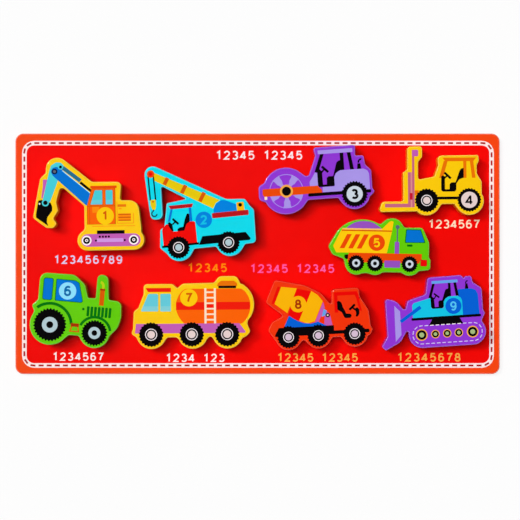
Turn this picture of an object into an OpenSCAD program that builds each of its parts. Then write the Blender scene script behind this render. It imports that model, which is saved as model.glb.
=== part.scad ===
// Hook and loop puzzle board: a wooden board with nine numbered vehicle blocks.
// Each block is held by two round fastener dots: hooks under the block, loops on the board.
// Millimetres. The board lies flat, +X along its length, +Y towards its upper edge, +Z up.
// The origin is under the middle of the board, on its underside.

/* [Board] */
// Length of the board, left to right
board_w = 300; // [290:1:360]
// Height of the board, lower edge to upper edge
board_d = 149; // [144:1:200]
// Thickness of the board
board_t = 6; // [4:0.5:12]
// Radius of the board's four corners
board_corner_r = 5; // [2:0.5:12]
// Rounding of the edges round the board's two faces
board_edge_r = 0.8; // [0.2:0.1:1.5]

/* [Vehicle blocks] */
// Thickness of every block
block_t = 12; // [8:0.5:20]
// Rounding of the edges round every block's two faces
block_edge_r = 0.7; // [0.3:0.1:1.1]
// Border of bare colour between the tyres of the wheeled vehicles and the blocks' edge
wheel_border = 1.9; // [1.6:0.1:2.4]

/* [Fastener dots] */
// Diameter of the hook and loop dots
dot_d = 14; // [8:0.5:15]
// Thickness of a hook dot, hooks included
hook_t = 1.2; // [0.6:0.1:3]
// Thickness of a loop dot, pile included
loop_t = 1.4; // [0.6:0.1:3]

/* [Places on the board] */
// Excavator: x and y of its own origin, and its lean anticlockwise in degrees
excavator_place = [-90.4, 19.6, 1]; // [-150:0.1:150]
// Crane: x, y, lean
crane_place = [-28, 16, 5.7]; // [-150:0.1:150]
// Street roller: x, y, lean
street_roller_place = [39.2, 40.4, 4]; // [-150:0.1:150]
// Forklift: x, y, lean
forklift_place = [116.2, 38, 0.5]; // [-150:0.1:150]
// Tipper truck: x, y, lean
tipper_truck_place = [74.7, 3.7, -1.2]; // [-150:0.1:150]
// Tractor: x, y, lean
tractor_place = [-112.4, -34.2, -5]; // [-150:0.1:150]
// Tank car: x, y, lean
tank_car_place = [-39.7, -34.2, 0.4]; // [-150:0.1:150]
// Truck mixer: x, y, lean
truck_mixer_place = [39.2, -39.1, 3]; // [-150:0.1:150]
// Bulldozer: x, y, lean
bulldozer_place = [111.3, -39.1, 3.8]; // [-150:0.1:150]

/* [Hidden] */
// Heights where the layers meet: board face, loop dots on hook dots, hook dots on block
face_z = board_t;
touch_z = face_z + loop_t;
block_z = touch_z + hook_t;

// Largest angle between two points of a rounded corner, and of a wheel's round edge
corner_step = 15;
wheel_step = 12;
// Angle between two points of an edge's rounding
edge_step = 45;

// Wood and paint colours
red_paint = "#f01010";
yellow_paint = "#ffc812";
cyan_paint = "#00d8ee";
purple_paint = "#9036cc";
green_paint = "#5fcc08";
vermilion_paint = "#f83c0c";
hook_plastic = "#f4f0e6";
loop_fabric = "#f7f3ea";

// Tyre radii, as printed on the blocks
crane_tyre_r = 6.7;
street_roller_tyre_r = 7.6;
forklift_tyre_r = 6.9;
tipper_truck_tyre_r = 4.9;
tractor_front_tyre_r = 7.4;
tractor_rear_tyre_r = 10.3;
tank_car_tyre_r = 7.4;
truck_mixer_tyre_r = 6.2;

// Outlines run clockwise from the upper left, in each vehicle's own upright frame.
// A corner is [x, y, radius], and wheel() gives the round edge below a tyre.

excavator_outline = concat(
    [[-37.9, 39.6, 6.5], [-28.9, 39.6, 7], [-10.4, 24.5, 3], [7.6, 24.3, 2.8], [6.7, 13, 1.2]],
    [[17.6, 12.8, 6], [19.4, -4, 4], [19.35, -6.6, 1]],
    wheel([14.8, -11.25], 6.3, 40, -90),
    wheel([-13.6, -11.25], 6.3, -90, -225),
    [[-15.4, -4.4, 2.5], [-15.4, 9.9, 2], [-29.6, 22.5, 2], [-32.4, 12.6, 3]],
    [[-31.2, 7.2, 1.6], [-34.4, 2.6, 1.5], [-32.2, -0.8, 1.3], [-34.5, -3.4, 1.8]],
    [[-38.6, -3.3, 3], [-46.9, 3, 2.5], [-42, 27.2, 3], [-38.6, 30.3, 1.5]]);

crane_outline = concat(
    [[-38.2, 44.9, 5.2], [10.5, 16.5, 4], [22, 15.5, 2], [24.4, 11.2, 1.5], [26.9, 8.4, 2]],
    [[26.2, -11.9, 2.5], [19.4, -12.1, 1.6]],
    wheel([10.3, -10], crane_tyre_r + wheel_border, -32, -148),
    [[1.5, -11.9, 1.6], [-11.8, -11.9, 1.6]],
    wheel([-20.8, -10], crane_tyre_r + wheel_border, -32, -156),
    [[-32.7, -9.4, 1.5], [-31.5, 1.6, 1.8], [-28.8, 3.4, 2], [-25.9, 17.5, 1.3], [-13.6, 18.9, 0.4]],
    [[-28.2, 28.3, 0.9], [-29.1, 8.1, 3.2], [-36.6, 8.1, 3.2]]);

street_roller_outline = concat(
    [[-2.6, 19.6, 2], [-3.6, 24.8, 1.4], [22.3, 24.8, 1.4], [21.8, 18.1, 0.8], [27, 18, 1.6]],
    [[27.5, 12.4, 1], [31.1, 8.6, 2.6], [31, -2.2, 1], [32.4, -4.5, 1.3], [30, -6.8, 1]],
    wheel([19.9, -5.1], street_roller_tyre_r + wheel_border, -14, -150),
    [[9.7, -7, 1.5], [-8.6, -7, 1.6]],
    wheel([-21.8, -0.55], 14.35, -36, -155),
    [[-38.7, -4.9, 2.6], [-38.5, 3.2, 2.6]],
    wheel([-21.8, -0.55], 14.35, 156, 47),
    [[-7.9, 6.5, 1.8]]);

forklift_outline = concat(
    [[-24.5, 27.8, 2.2], [-15.3, 27.8, 1.6], [-15.3, 21.4, 2], [-17.8, 18.2, 2], [-17.9, 7.4, 1.2]],
    [[-8.2, 9.3, 1.5], [-5.6, 16.2, 3], [-6.3, 22.1, 2.6], [19.2, 22.2, 1.4], [19.3, 18.6, 2]],
    [[18, 16, 2], [18.1, 10.8, 3], [21, 5.8, 3], [20.9, -1.4, 1.5]],
    wheel([13.4, -5.7], forklift_tyre_r + wheel_border, 16, -148),
    [[4, -7.7, 1.5], [-3.6, -7.7, 1.5]],
    wheel([-12.9, -5.7], forklift_tyre_r + wheel_border, -32, -134),
    [[-42.2, -12.3, 1.7], [-40.2, -5.8, 2.5], [-27.2, -5.8, 1.5], [-27.2, 12, 2], [-24.6, 13.6, 1.5]]);

tipper_truck_outline = concat(
    wheel([-10.5, -2.9], 20.05, 139, 62),
    [[0.3, 14.4, 1.5]],
    wheel([7.4, 11], 7.2, 122, 42),
    [[15, 12.5, 2], [26, 12.8, 2.6], [30.3, 3.6, 6], [30.2, -5.2, 2], [31.3, -7.2, 1.8]],
    [[31.2, -13.1, 2], [24.9, -13.8, 1]],
    wheel([18.5, -9.9], tipper_truck_tyre_r + wheel_border + 0.2, -38, -124),
    [[13.4, -15, 1.5], [3.4, -15, 1.5]],
    wheel([-2.6, -9.9], tipper_truck_tyre_r + wheel_border + 0.2, -52, -116),
    [[-8.2, -15.7, 1.5]],
    wheel([-14, -9.9], tipper_truck_tyre_r + wheel_border + 0.2, -64, -166),
    [[-21.9, -7.2, 1.6], [-28.8, -4.8, 2.5], [-31.5, 0.4, 2.6]]);

tractor_outline = concat(
    [[-22.2, 21, 4.5], [-1.2, 21.4, 6], [5.6, 16, 5], [8.2, 7.9, 1], [12.8, 8, 1], [12.8, 22.8, 2.8]],
    [[19.4, 22.7, 3.6], [20.9, 7.8, 1], [28.6, 7.4, 3.6], [29.4, -2.5, 8], [27.8, -9, 6], [23.5, -13.9, 1]],
    wheel([13.9, -13.1], tractor_front_tyre_r + wheel_border, -12, -146),
    [[4.3, -15.7, 1.6], [-1.5, -15.7, 1.6]],
    wheel([-13.7, -10.4], tractor_rear_tyre_r + wheel_border + 0.2, -35, -209),
    [[-24, -2.8, 1], [-25.7, 0.6, 1.5], [-22.2, 4.4, 1.8]]);

tank_car_outline = concat(
    [[-29.8, 15.8, 2.2], [-12.1, 15.8, 2.4], [-9.2, 13.1, 1], [-6, 16, 3.2], [13.2, 16.4, 2]],
    [[16.4, 20.4, 3.4], [27.2, 20.4, 3.6], [29.5, 15.7, 0.8]],
    wheel([23.3, 3], 14.5, 58, -44),
    [[33.6, -9, 1.4], [35.4, -13.6, 1.8], [33, -16.4, 1.4], [30.7, -17.4, 0.8]],
    wheel([21.4, -14.7], tank_car_tyre_r + wheel_border, -22, -158),
    [[10.8, -16, 1.3]],
    wheel([0.1, -14.7], tank_car_tyre_r + wheel_border, -22, -158),
    [[-10, -16.9, 1], [-15.2, -16.9, 1]],
    wheel([-25.2, -14.7], tank_car_tyre_r + wheel_border, -22, -160),
    [[-34.5, -16.8, 0.6], [-37.6, -14.6, 1.7], [-36.5, -11.2, 1], [-36, -1, 2.6], [-33.2, 1.2, 2]],
    [[-29.9, 9.5, 4]]);

truck_mixer_outline = concat(
    [[-27.5, 24.5, 2], [-9, 20.2, 8], [0.5, 14.8, 6], [6.3, 7.3, 0.7], [7.1, 17, 2], [23.8, 17.2, 2]],
    [[23.9, 12, 3], [29, 3.2, 3.5], [29.8, -6.2, 1], [31.1, -8.6, 1.3], [29.4, -11.6, 1.3]],
    wheel([19.8, -10.7], truck_mixer_tyre_r + wheel_border, -14, -156),
    [[11, -12.3, 1.4], [6.2, -12.3, 1.4]],
    wheel([-2.5, -10.7], truck_mixer_tyre_r + wheel_border, -38, -140),
    [[-11.6, -12.7, 1.2]],
    wheel([-20.7, -10.7], truck_mixer_tyre_r + wheel_border, -40, -158),
    [[-33.3, -6, 3], [-30.4, -1.3, 3], [-23.4, 2.3, 1], [-33.8, 11, 2.2]]);

bulldozer_outline = concat(
    [[-32.6, 13.9, 1.8], [-25.6, 11.8, 6], [-20.7, 5, 1.2], [-18.9, 11.6, 2.5], [-7.6, 14.7, 2.4]],
    [[-5.8, 24.9, 2], [14.9, 25.2, 1.6], [16.2, 23, 0.5], [17.3, 24.3, 1.2], [20.9, 24.3, 1.4]],
    [[21.7, 20.3, 1.6], [26.9, 16.6, 3], [26.9, 3.4, 2], [27.9, 1, 1.3], [25.6, -3.2, 0.8]],
    wheel([19.6, -9.6], 8.25, 38, -90),
    wheel([-11.2, -9.6], 8.25, -90, -192),
    [[-20.5, -7, 0.7], [-24.6, -13.4, 6], [-34, -18, 1.3], [-36.5, -15.6, 1.6], [-32.5, -9.6, 2]]);

// Middles of each vehicle's two dots, in the vehicle's own frame
excavator_dots = [[-6.5, -1], [10.5, -1]];
crane_dots = [[-19, -3], [13, 0]];
street_roller_dots = [[-21.8, -0.5], [19.5, 0]];
forklift_dots = [[-11, -1], [12, -1]];
tipper_truck_dots = [[-14, 0], [16, -2]];
tractor_dots = [[-13, -4], [14, -4]];
tank_car_dots = [[-20, -3], [18, -2]];
truck_mixer_dots = [[-12.5, 4], [17, -1]];
bulldozer_dots = [[-8, -4], [15, 2]];

// Points of a round edge with middle c and radius r, from angle a0 to angle a1
function wheel(c, r, a0, a1) =
    let (n = ceil(abs(a1 - a0) / wheel_step))
    [for (i = [0:n]) let (a = a0 + (a1 - a0) * i / n) [c.x + r * cos(a), c.y + r * sin(a), 0]];

// Unit vector from point a to point b
function heading(a, b) =
    let (d = [b.x - a.x, b.y - a.y])
    d / norm(d);

// Points of the rounded corner at b, on the way from a to c
function corner(a, b, c) =
    let (
        u = heading(a, b),
        v = heading(b, c),
        turn = atan2(u.x * v.y - u.y * v.x, u * v),
        start = [b.x, b.y] - u * b.z * tan(abs(turn) / 2),
        middle = start + sign(turn) * b.z * [-u.y, u.x],
        arm = start - middle,
        n = ceil(abs(turn) / corner_step)
    )
    [for (i = [0:n]) let (t = turn * i / n)
        middle + [arm.x * cos(t) - arm.y * sin(t), arm.x * sin(t) + arm.y * cos(t)]];

// An outline's points, with every corner rounded to its own radius
function rounded(path) =
    let (n = len(path))
    [for (i = [0:n - 1])
        each path[i].z > 0
            ? corner(path[(i + n - 1) % n], path[i], path[(i + 1) % n])
            : [[path[i].x, path[i].y]]];

// A clockwise outline moved inwards by d
function inset(points, d) =
    let (n = len(points))
    [for (i = [0:n - 1])
        let (
            u = heading(points[(i + n - 1) % n], points[i]),
            v = heading(points[i], points[(i + 1) % n]),
            side = [u.y + v.y, -u.x - v.x]
        )
        points[i] + d * side / (1 + u * v)];

// Twice the area of the triangle a, b, c: below zero when it runs clockwise
function turn_of(a, b, c) = (b.x - a.x) * (c.y - a.y) - (b.y - a.y) * (c.x - a.x);

// Whether corner i of the ring can be cut off without crossing the outline
function is_ear(points, ring, i) =
    let (
        n = len(ring),
        a = points[ring[(i + n - 1) % n]],
        b = points[ring[i]],
        c = points[ring[(i + 1) % n]]
    )
    turn_of(a, b, c) < 0
        && len([for (k = ring) let (p = points[k])
            if (p != a && p != b && p != c
                && turn_of(a, b, p) <= 0 && turn_of(b, c, p) <= 0 && turn_of(c, a, p) <= 0) k]) == 0;

// The first corner from i on that can be cut off
function first_ear(points, ring, i = 0) = is_ear(points, ring, i) ? i : first_ear(points, ring, i + 1);

// Triangles that fill a clockwise outline
function face_triangles(points, ring, done = []) =
    len(ring) == 3
        ? concat(done, [ring])
        : let (
            n = len(ring),
            i = first_ear(points, ring),
            cut = [ring[(i + n - 1) % n], ring[i], ring[(i + 1) % n]]
        )
        face_triangles(points, [for (k = [0:n - 1]) if (k != i) ring[k]], concat(done, [cut]));

// A plate of any outline, with the edges of both faces rounded to edge_r
module eased_plate(points, t, edge_r) {
    n = len(points);
    lower = [for (a = [90:-edge_step:0]) [edge_r * (1 - sin(a)), edge_r * (1 - cos(a))]];
    upper = [for (l = [len(lower) - 1:-1:0]) [t - lower[l][0], lower[l][1]]];
    levels = concat(lower, upper);
    last = (len(levels) - 1) * n;
    face = face_triangles(inset(points, edge_r), [for (i = [0:n - 1]) i]);
    polyhedron(
        [for (l = levels) each [for (p = inset(points, l[1])) [p.x, p.y, l[0]]]],
        concat(
            [for (f = face) [f[2], f[1], f[0]]],
            [for (f = face) [f[0] + last, f[1] + last, f[2] + last]],
            [for (b = [0:n:last - n]) for (i = [0:n - 1]) let (j = (i + 1) % n)
                each [[b + i, b + j, b + n + j], [b + i, b + n + j, b + n + i]]]
        )
    );
}

// Stands a vehicle's parts at its place on the board
module at(place, z) {
    translate([place.x, place.y, z]) rotate(place.z) children();
}

// One wooden vehicle block
module block(outline, place, paint) {
    color(paint) at(place, block_z) eased_plate(rounded(outline), block_t, block_edge_r);
}

// The two hook dots stuck under a block
module hook_dots(dots, place) {
    color(hook_plastic) at(place, touch_z)
        for (d = dots) translate(d) cylinder(h = hook_t, d = dot_d, $fn = 64);
}

// The two loop dots stuck on the board
module loop_dots(dots, place) {
    color(loop_fabric) at(place, face_z)
        for (d = dots) translate(d) cylinder(h = loop_t, d = dot_d, $fn = 64);
}

// The board, with rounded corners
module base_board() {
    x = board_w / 2;
    y = board_d / 2;
    r = board_corner_r;
    color(red_paint)
        eased_plate(rounded([[-x, y, r], [x, y, r], [x, -y, r], [-x, -y, r]]), board_t, board_edge_r);
}

base_board();

block(excavator_outline, excavator_place, yellow_paint);  // excavator
block(crane_outline, crane_place, cyan_paint);  // crane
block(street_roller_outline, street_roller_place, purple_paint);  // street_roller
block(forklift_outline, forklift_place, yellow_paint);  // forklift
block(tipper_truck_outline, tipper_truck_place, green_paint);  // tipper_truck
block(tractor_outline, tractor_place, green_paint);  // tractor
block(tank_car_outline, tank_car_place, yellow_paint);  // tank_car
block(truck_mixer_outline, truck_mixer_place, vermilion_paint);  // truck_mixer
block(bulldozer_outline, bulldozer_place, purple_paint);  // bulldozer

hook_dots(excavator_dots, excavator_place);  // excavator_hook_dots
hook_dots(crane_dots, crane_place);  // crane_hook_dots
hook_dots(street_roller_dots, street_roller_place);  // street_roller_hook_dots
hook_dots(forklift_dots, forklift_place);  // forklift_hook_dots
hook_dots(tipper_truck_dots, tipper_truck_place);  // tipper_truck_hook_dots
hook_dots(tractor_dots, tractor_place);  // tractor_hook_dots
hook_dots(tank_car_dots, tank_car_place);  // tank_car_hook_dots
hook_dots(truck_mixer_dots, truck_mixer_place);  // truck_mixer_hook_dots
hook_dots(bulldozer_dots, bulldozer_place);  // bulldozer_hook_dots

loop_dots(excavator_dots, excavator_place);  // excavator_loop_dots
loop_dots(crane_dots, crane_place);  // crane_loop_dots
loop_dots(street_roller_dots, street_roller_place);  // street_roller_loop_dots
loop_dots(forklift_dots, forklift_place);  // forklift_loop_dots
loop_dots(tipper_truck_dots, tipper_truck_place);  // tipper_truck_loop_dots
loop_dots(tractor_dots, tractor_place);  // tractor_loop_dots
loop_dots(tank_car_dots, tank_car_place);  // tank_car_loop_dots
loop_dots(truck_mixer_dots, truck_mixer_place);  // truck_mixer_loop_dots
loop_dots(bulldozer_dots, bulldozer_place);  // bulldozer_loop_dots
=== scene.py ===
"""Looks of a hook and loop puzzle board.

A painted wooden board carries nine printed vehicle blocks, and each block lifts off its fastener
dots. Drawings are written in millimetres, in each vehicle's own upright frame.
"""

import logging
import math
import random
from dataclasses import dataclass
from enum import Enum
from typing import ClassVar, Sequence

import bmesh
import bpy
from bmesh.types import BMEdge, BMesh, BMFace, BMVert
from mathutils import Matrix, Vector


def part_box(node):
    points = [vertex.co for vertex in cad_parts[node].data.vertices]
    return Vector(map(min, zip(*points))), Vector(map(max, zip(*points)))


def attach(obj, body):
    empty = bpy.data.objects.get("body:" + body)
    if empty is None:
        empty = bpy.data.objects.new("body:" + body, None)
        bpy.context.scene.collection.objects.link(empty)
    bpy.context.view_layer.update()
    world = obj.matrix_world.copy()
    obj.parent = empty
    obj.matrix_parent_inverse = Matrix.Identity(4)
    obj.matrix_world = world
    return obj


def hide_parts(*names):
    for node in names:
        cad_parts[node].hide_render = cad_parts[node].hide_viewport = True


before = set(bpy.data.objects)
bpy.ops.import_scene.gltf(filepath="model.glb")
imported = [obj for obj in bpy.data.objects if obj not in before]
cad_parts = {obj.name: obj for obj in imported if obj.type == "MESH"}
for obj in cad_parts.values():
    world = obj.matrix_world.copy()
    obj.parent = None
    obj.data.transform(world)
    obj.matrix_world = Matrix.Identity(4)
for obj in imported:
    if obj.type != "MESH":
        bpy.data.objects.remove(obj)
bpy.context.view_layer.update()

log = logging.getLogger("puzzle_board")

Point = tuple[float, float]
Triple = tuple[float, float, float]
Rgb = tuple[int, int, int]
Rgba = tuple[float, float, float, float]

MM = 0.001
# Points and heights closer than this count as one, in metres.
WELD = 1e-6
# Faces across a rounded edge of the board or of a block.
EDGE_STEPS = 4
# Degrees between the points of a curved stroke.
BOW_STEP = 15.0
# The mesh attribute that is 1 on rounded edges, where the square of a normal's upward part is
# between these limits. The paint is lightened there as a painted highlight.
EDGE_HIGHLIGHT = "worn_edge"
HIGHLIGHT_SLOPES = (0.2, 0.95)


def linear(rgb: Rgb, gain: float = 1.0) -> Rgba:
    """Turns a screen colour into the linear colour that a shader takes.

    Args:
        rgb: Red, green and blue from 0 to 255.
        gain: Factor on the linear colour.

    Returns:
        Linear red, green, blue and an alpha of 1.
    """
    channels = [c / 255 for c in rgb]
    values = [c / 12.92 if c <= 0.04045 else ((c + 0.055) / 1.055) ** 2.4 for c in channels]
    return (*(min(1.0, v * gain) for v in values), 1.0)


class Wire:
    """A shader socket that takes part in Python arithmetic."""

    def __init__(self, tree: bpy.types.NodeTree, socket: bpy.types.NodeSocket) -> None:
        """Wraps one output socket of a node tree."""
        self.tree = tree
        self.socket = socket

    def _math(self, operation: str, first: "Wire | float", second: "Wire | float") -> "Wire":
        """Adds a Math node.

        Args:
            operation: The Math node's operation.
            first: Its first value.
            second: Its second value.

        Returns:
            The node's result.
        """
        node = self.tree.nodes.new("ShaderNodeMath")
        node.operation = operation
        for socket, value in zip(node.inputs, (first, second)):
            if isinstance(value, Wire):
                self.tree.links.new(value.socket, socket)
            else:
                socket.default_value = value
        return Wire(self.tree, node.outputs[0])

    def __add__(self, other: "Wire | float") -> "Wire":
        """Sum of two values."""
        return self._math("ADD", self, other)

    def __radd__(self, other: "Wire | float") -> "Wire":
        """Sum of two values, this one second."""
        return self._math("ADD", other, self)

    def __sub__(self, other: "Wire | float") -> "Wire":
        """Difference of two values."""
        return self._math("SUBTRACT", self, other)

    def __rsub__(self, other: "Wire | float") -> "Wire":
        """Difference of two values, this one second."""
        return self._math("SUBTRACT", other, self)

    def __mul__(self, other: "Wire | float") -> "Wire":
        """Product of two values."""
        return self._math("MULTIPLY", self, other)

    def __rmul__(self, other: "Wire | float") -> "Wire":
        """Product of two values, this one second."""
        return self._math("MULTIPLY", other, self)

    def between(self, low: float, high: float) -> "Wire":
        """From low, where this value is 0, to high, where it is 1."""
        return low + (high - low) * self


class Graph:
    """The shader graph of a material or of the world."""

    def __init__(self, owner: bpy.types.Material | bpy.types.World) -> None:
        """Empties the owner's graph.

        Args:
            owner: The material or the world.
        """
        owner.use_nodes = True
        self.owner = owner
        self.tree = owner.node_tree
        self.tree.nodes.clear()

    def node(
        self,
        kind: str,
        settings: dict[str, object] | None = None,
        inputs: dict[str | int, object] | None = None,
        output: str | int = 0,
    ) -> Wire | None:
        """Adds any node.

        Args:
            kind: The node's type.
            settings: Its properties, set first.
            inputs: A value or a Wire for each socket named.
            output: The socket to hand back.

        Returns:
            That output, or None for a node that ends the graph.
        """
        node = self.tree.nodes.new(kind)
        for key, value in (settings or {}).items():
            setattr(node, key, value)
        for key, value in (inputs or {}).items():
            if isinstance(value, Wire):
                self.tree.links.new(value.socket, node.inputs[key])
            else:
                node.inputs[key].default_value = value
        return Wire(self.tree, node.outputs[output]) if node.outputs else None

    def noise(self, stretch: Triple, detail: float) -> Wire:
        """Adds noise on the piece's own coordinates.

        Args:
            stretch: Noise cells in a metre along X, Y and Z.
            detail: Octaves of finer noise.

        Returns:
            Values about 0.5.
        """
        spot = self.node("ShaderNodeTexCoord", output="Object")
        spot = self.node("ShaderNodeMapping", None, {"Vector": spot, "Scale": stretch})
        wanted = {"Vector": spot, "Scale": 1.0, "Detail": detail}
        return self.node("ShaderNodeTexNoise", None, wanted, "Fac")

    def blend(self, factor: Wire, low: object, high: object) -> Wire:
        """Mixes two colours.

        Args:
            factor: 0 for the first colour, 1 for the second.
            low: First colour.
            high: Second colour.

        Returns:
            The mixed colour.
        """
        sockets = {0: factor, 6: low, 7: high}
        return self.node("ShaderNodeMix", {"data_type": "RGBA"}, sockets, 2)

    def step(self, value: Wire, start: float, end: float) -> Wire:
        """Makes a soft step.

        Args:
            value: The value that rises or falls.
            start: Where the step is still 0.
            end: Where it has come to 1.

        Returns:
            The step, 0 to 1.
        """
        wanted = {"Value": value, "From Min": start, "From Max": end}
        return self.node("ShaderNodeMapRange", {"interpolation_type": "SMOOTHSTEP"}, wanted)

    def bump(self, height: Wire, strength: float, depth: float) -> Wire:
        """Adds a bump.

        Args:
            height: Height of the surface, 0 to 1.
            strength: Share of the bump that shows.
            depth: Depth of the relief in metres.

        Returns:
            The bumped normal.
        """
        wanted = {"Height": height, "Strength": strength, "Distance": depth}
        return self.node("ShaderNodeBump", None, wanted)

    def surface(self, inputs: dict[str | int, object]) -> bpy.types.Material:
        """Ends the graph in a Principled shader.

        Args:
            inputs: A value or a Wire for each of the shader's sockets named.

        Returns:
            The finished material.
        """
        shader = self.node("ShaderNodeBsdfPrincipled", None, inputs)
        self.node("ShaderNodeOutputMaterial", None, {"Surface": shader})
        return self.owner


@dataclass(frozen=True)
class Finish:
    """A finish whose material is made once. Noise is in cells to the metre, relief in metres."""

    name: str
    colour: Rgb

    def material(self) -> bpy.types.Material:
        """Makes the material once, and hands it back after that.

        Returns:
            The material.
        """
        kept = bpy.data.materials.get(self.name)
        if kept:
            return kept
        return self.mix(Graph(bpy.data.materials.new(self.name)))

    def mix(self, graph: Graph) -> bpy.types.Material:
        """Builds the finish in the empty graph of its material."""
        raise NotImplementedError

    def tone(self, gain: float) -> Rgba:
        """The finish's colour, lighter or darker."""
        return linear(self.colour, gain)


@dataclass(frozen=True)
class PaintedWood(Finish):
    """Gloss paint over fine wood: faint grain, a clear coat and a painted highlight on its rounded
    edges.
    """

    # Painted highlight: share and tint of the pale colour blended onto the rounded edges.
    wear: float = 0.08
    primer: Rgb = (255, 244, 226)
    roughness: float = 0.14
    spread: float = 0.03
    specular: float = 0.2
    coat: Point = (0.04, 0.1)
    coat_roughness: float = 0.08
    clouds: float = 38.0
    cloud_tones: Point = (0.96, 1.04)
    grain_along: float = 55.0
    grain_across: float = 900.0
    grain_share: float = 0.08
    grain_tone: float = 0.55
    orange_peel: float = 1400.0
    peel_share: float = 0.3
    bump: float = 0.12
    relief: float = 0.00012

    def mix(self, graph: Graph) -> bpy.types.Material:
        """Builds the paint.

        Args:
            graph: The empty graph of its material.

        Returns:
            The material.
        """
        cloud = graph.noise((self.clouds,) * 3, 3.0)
        peel = graph.noise((self.orange_peel,) * 3, 1.0)
        grain = graph.noise((self.grain_along, self.grain_across, self.grain_across), 4.0)
        shade = graph.blend(cloud, *map(self.tone, self.cloud_tones))
        shade = graph.blend(self.grain_share * grain, shade, self.tone(self.grain_tone))
        # Painted highlight: the rounded edges are blended towards a pale tint.
        edge = graph.node("ShaderNodeAttribute", {"attribute_name": EDGE_HIGHLIGHT}, output="Fac")
        shade = graph.blend(self.wear * edge, shade, linear(self.primer))
        height = (1 - self.peel_share) * grain + self.peel_share * peel
        return graph.surface({
            "Base Color": shade,
            "Roughness": cloud.between(self.roughness - self.spread, self.roughness + self.spread),
            "Specular IOR Level": self.specular,
            "Coat Weight": cloud.between(*self.coat),
            "Coat Roughness": self.coat_roughness,
            "Normal": graph.bump(height, self.bump, self.relief),
        })


@dataclass(frozen=True)
class PrintedInk(Finish):
    """Screen-printed ink: a thin, even film with a slight mottle."""

    roughness: float = 0.2
    spread: float = 0.03
    specular: float = 0.08
    clouds: float = 60.0
    cloud_tones: Point = (0.95, 1.05)
    mottle: float = 1800.0
    mottle_share: float = 0.12
    mottle_tone: float = 0.8
    bump: float = 0.08
    relief: float = 0.00005

    def mix(self, graph: Graph) -> bpy.types.Material:
        """Builds the ink.

        Args:
            graph: The empty graph of its material.

        Returns:
            The material.
        """
        cloud = graph.noise((self.clouds,) * 3, 2.0)
        mottle = graph.noise((self.mottle,) * 3, 2.0)
        shade = graph.blend(cloud, *map(self.tone, self.cloud_tones))
        shade = graph.blend(self.mottle_share * mottle, shade, self.tone(self.mottle_tone))
        return graph.surface({
            "Base Color": shade,
            "Roughness": mottle.between(self.roughness - self.spread, self.roughness + self.spread),
            "Specular IOR Level": self.specular,
            "Normal": graph.bump(mottle, self.bump, self.relief),
        })


@dataclass(frozen=True)
class Nylon(Finish):
    """Undyed nylon: threads of slightly different white, with a little dust."""

    roughness: float
    sheen: float
    spread: float = 0.15
    threads: Triple = (700.0, 700.0, 300.0)
    thread_tones: Point = (0.8, 1.05)
    dust: float = 120.0
    dust_share: float = 0.25
    dust_colour: Rgb = (196, 184, 160)
    bump: float = 0.2
    relief: float = 0.0001

    def mix(self, graph: Graph) -> bpy.types.Material:
        """Builds the nylon.

        Args:
            graph: The empty graph of its material.

        Returns:
            The material.
        """
        thread = graph.noise(self.threads, 2.0)
        dust = graph.noise((self.dust,) * 3, 3.0)
        shade = graph.blend(thread, *map(self.tone, self.thread_tones))
        shade = graph.blend(self.dust_share * dust, shade, linear(self.dust_colour))
        return graph.surface({
            "Base Color": shade,
            "Roughness": thread.between(self.roughness, self.roughness + self.spread),
            "Sheen Weight": self.sheen,
            "Normal": graph.bump(thread, self.bump, self.relief),
        })


class Paint(Enum):
    """Paints of the board and the blocks, with the record's material slots."""

    # The third value is the share of the painted highlight on the rounded edges.
    ORANGE = (PaintedWood("orange_rim_paint", (246, 70, 18), 0.15), "red_wood")
    YELLOW = (PaintedWood("yellow_paint", (255, 203, 9)), "yellow_wood")
    CYAN = (PaintedWood("cyan_paint", (2, 219, 238), 0.14), "cyan_wood")
    PURPLE = (PaintedWood("purple_paint", (144, 54, 212), 0.13), "purple_wood")
    GREEN = (PaintedWood("green_paint", (98, 204, 5)), "green_wood")
    VERMILION = (PaintedWood("vermilion_paint", (244, 52, 8), 0.03), "vermilion_wood")

    def material(self) -> bpy.types.Material:
        """The paint's material."""
        return self.value[0].material()

    @property
    def slot(self) -> str:
        """The record's material slot."""
        return self.value[1]


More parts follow.
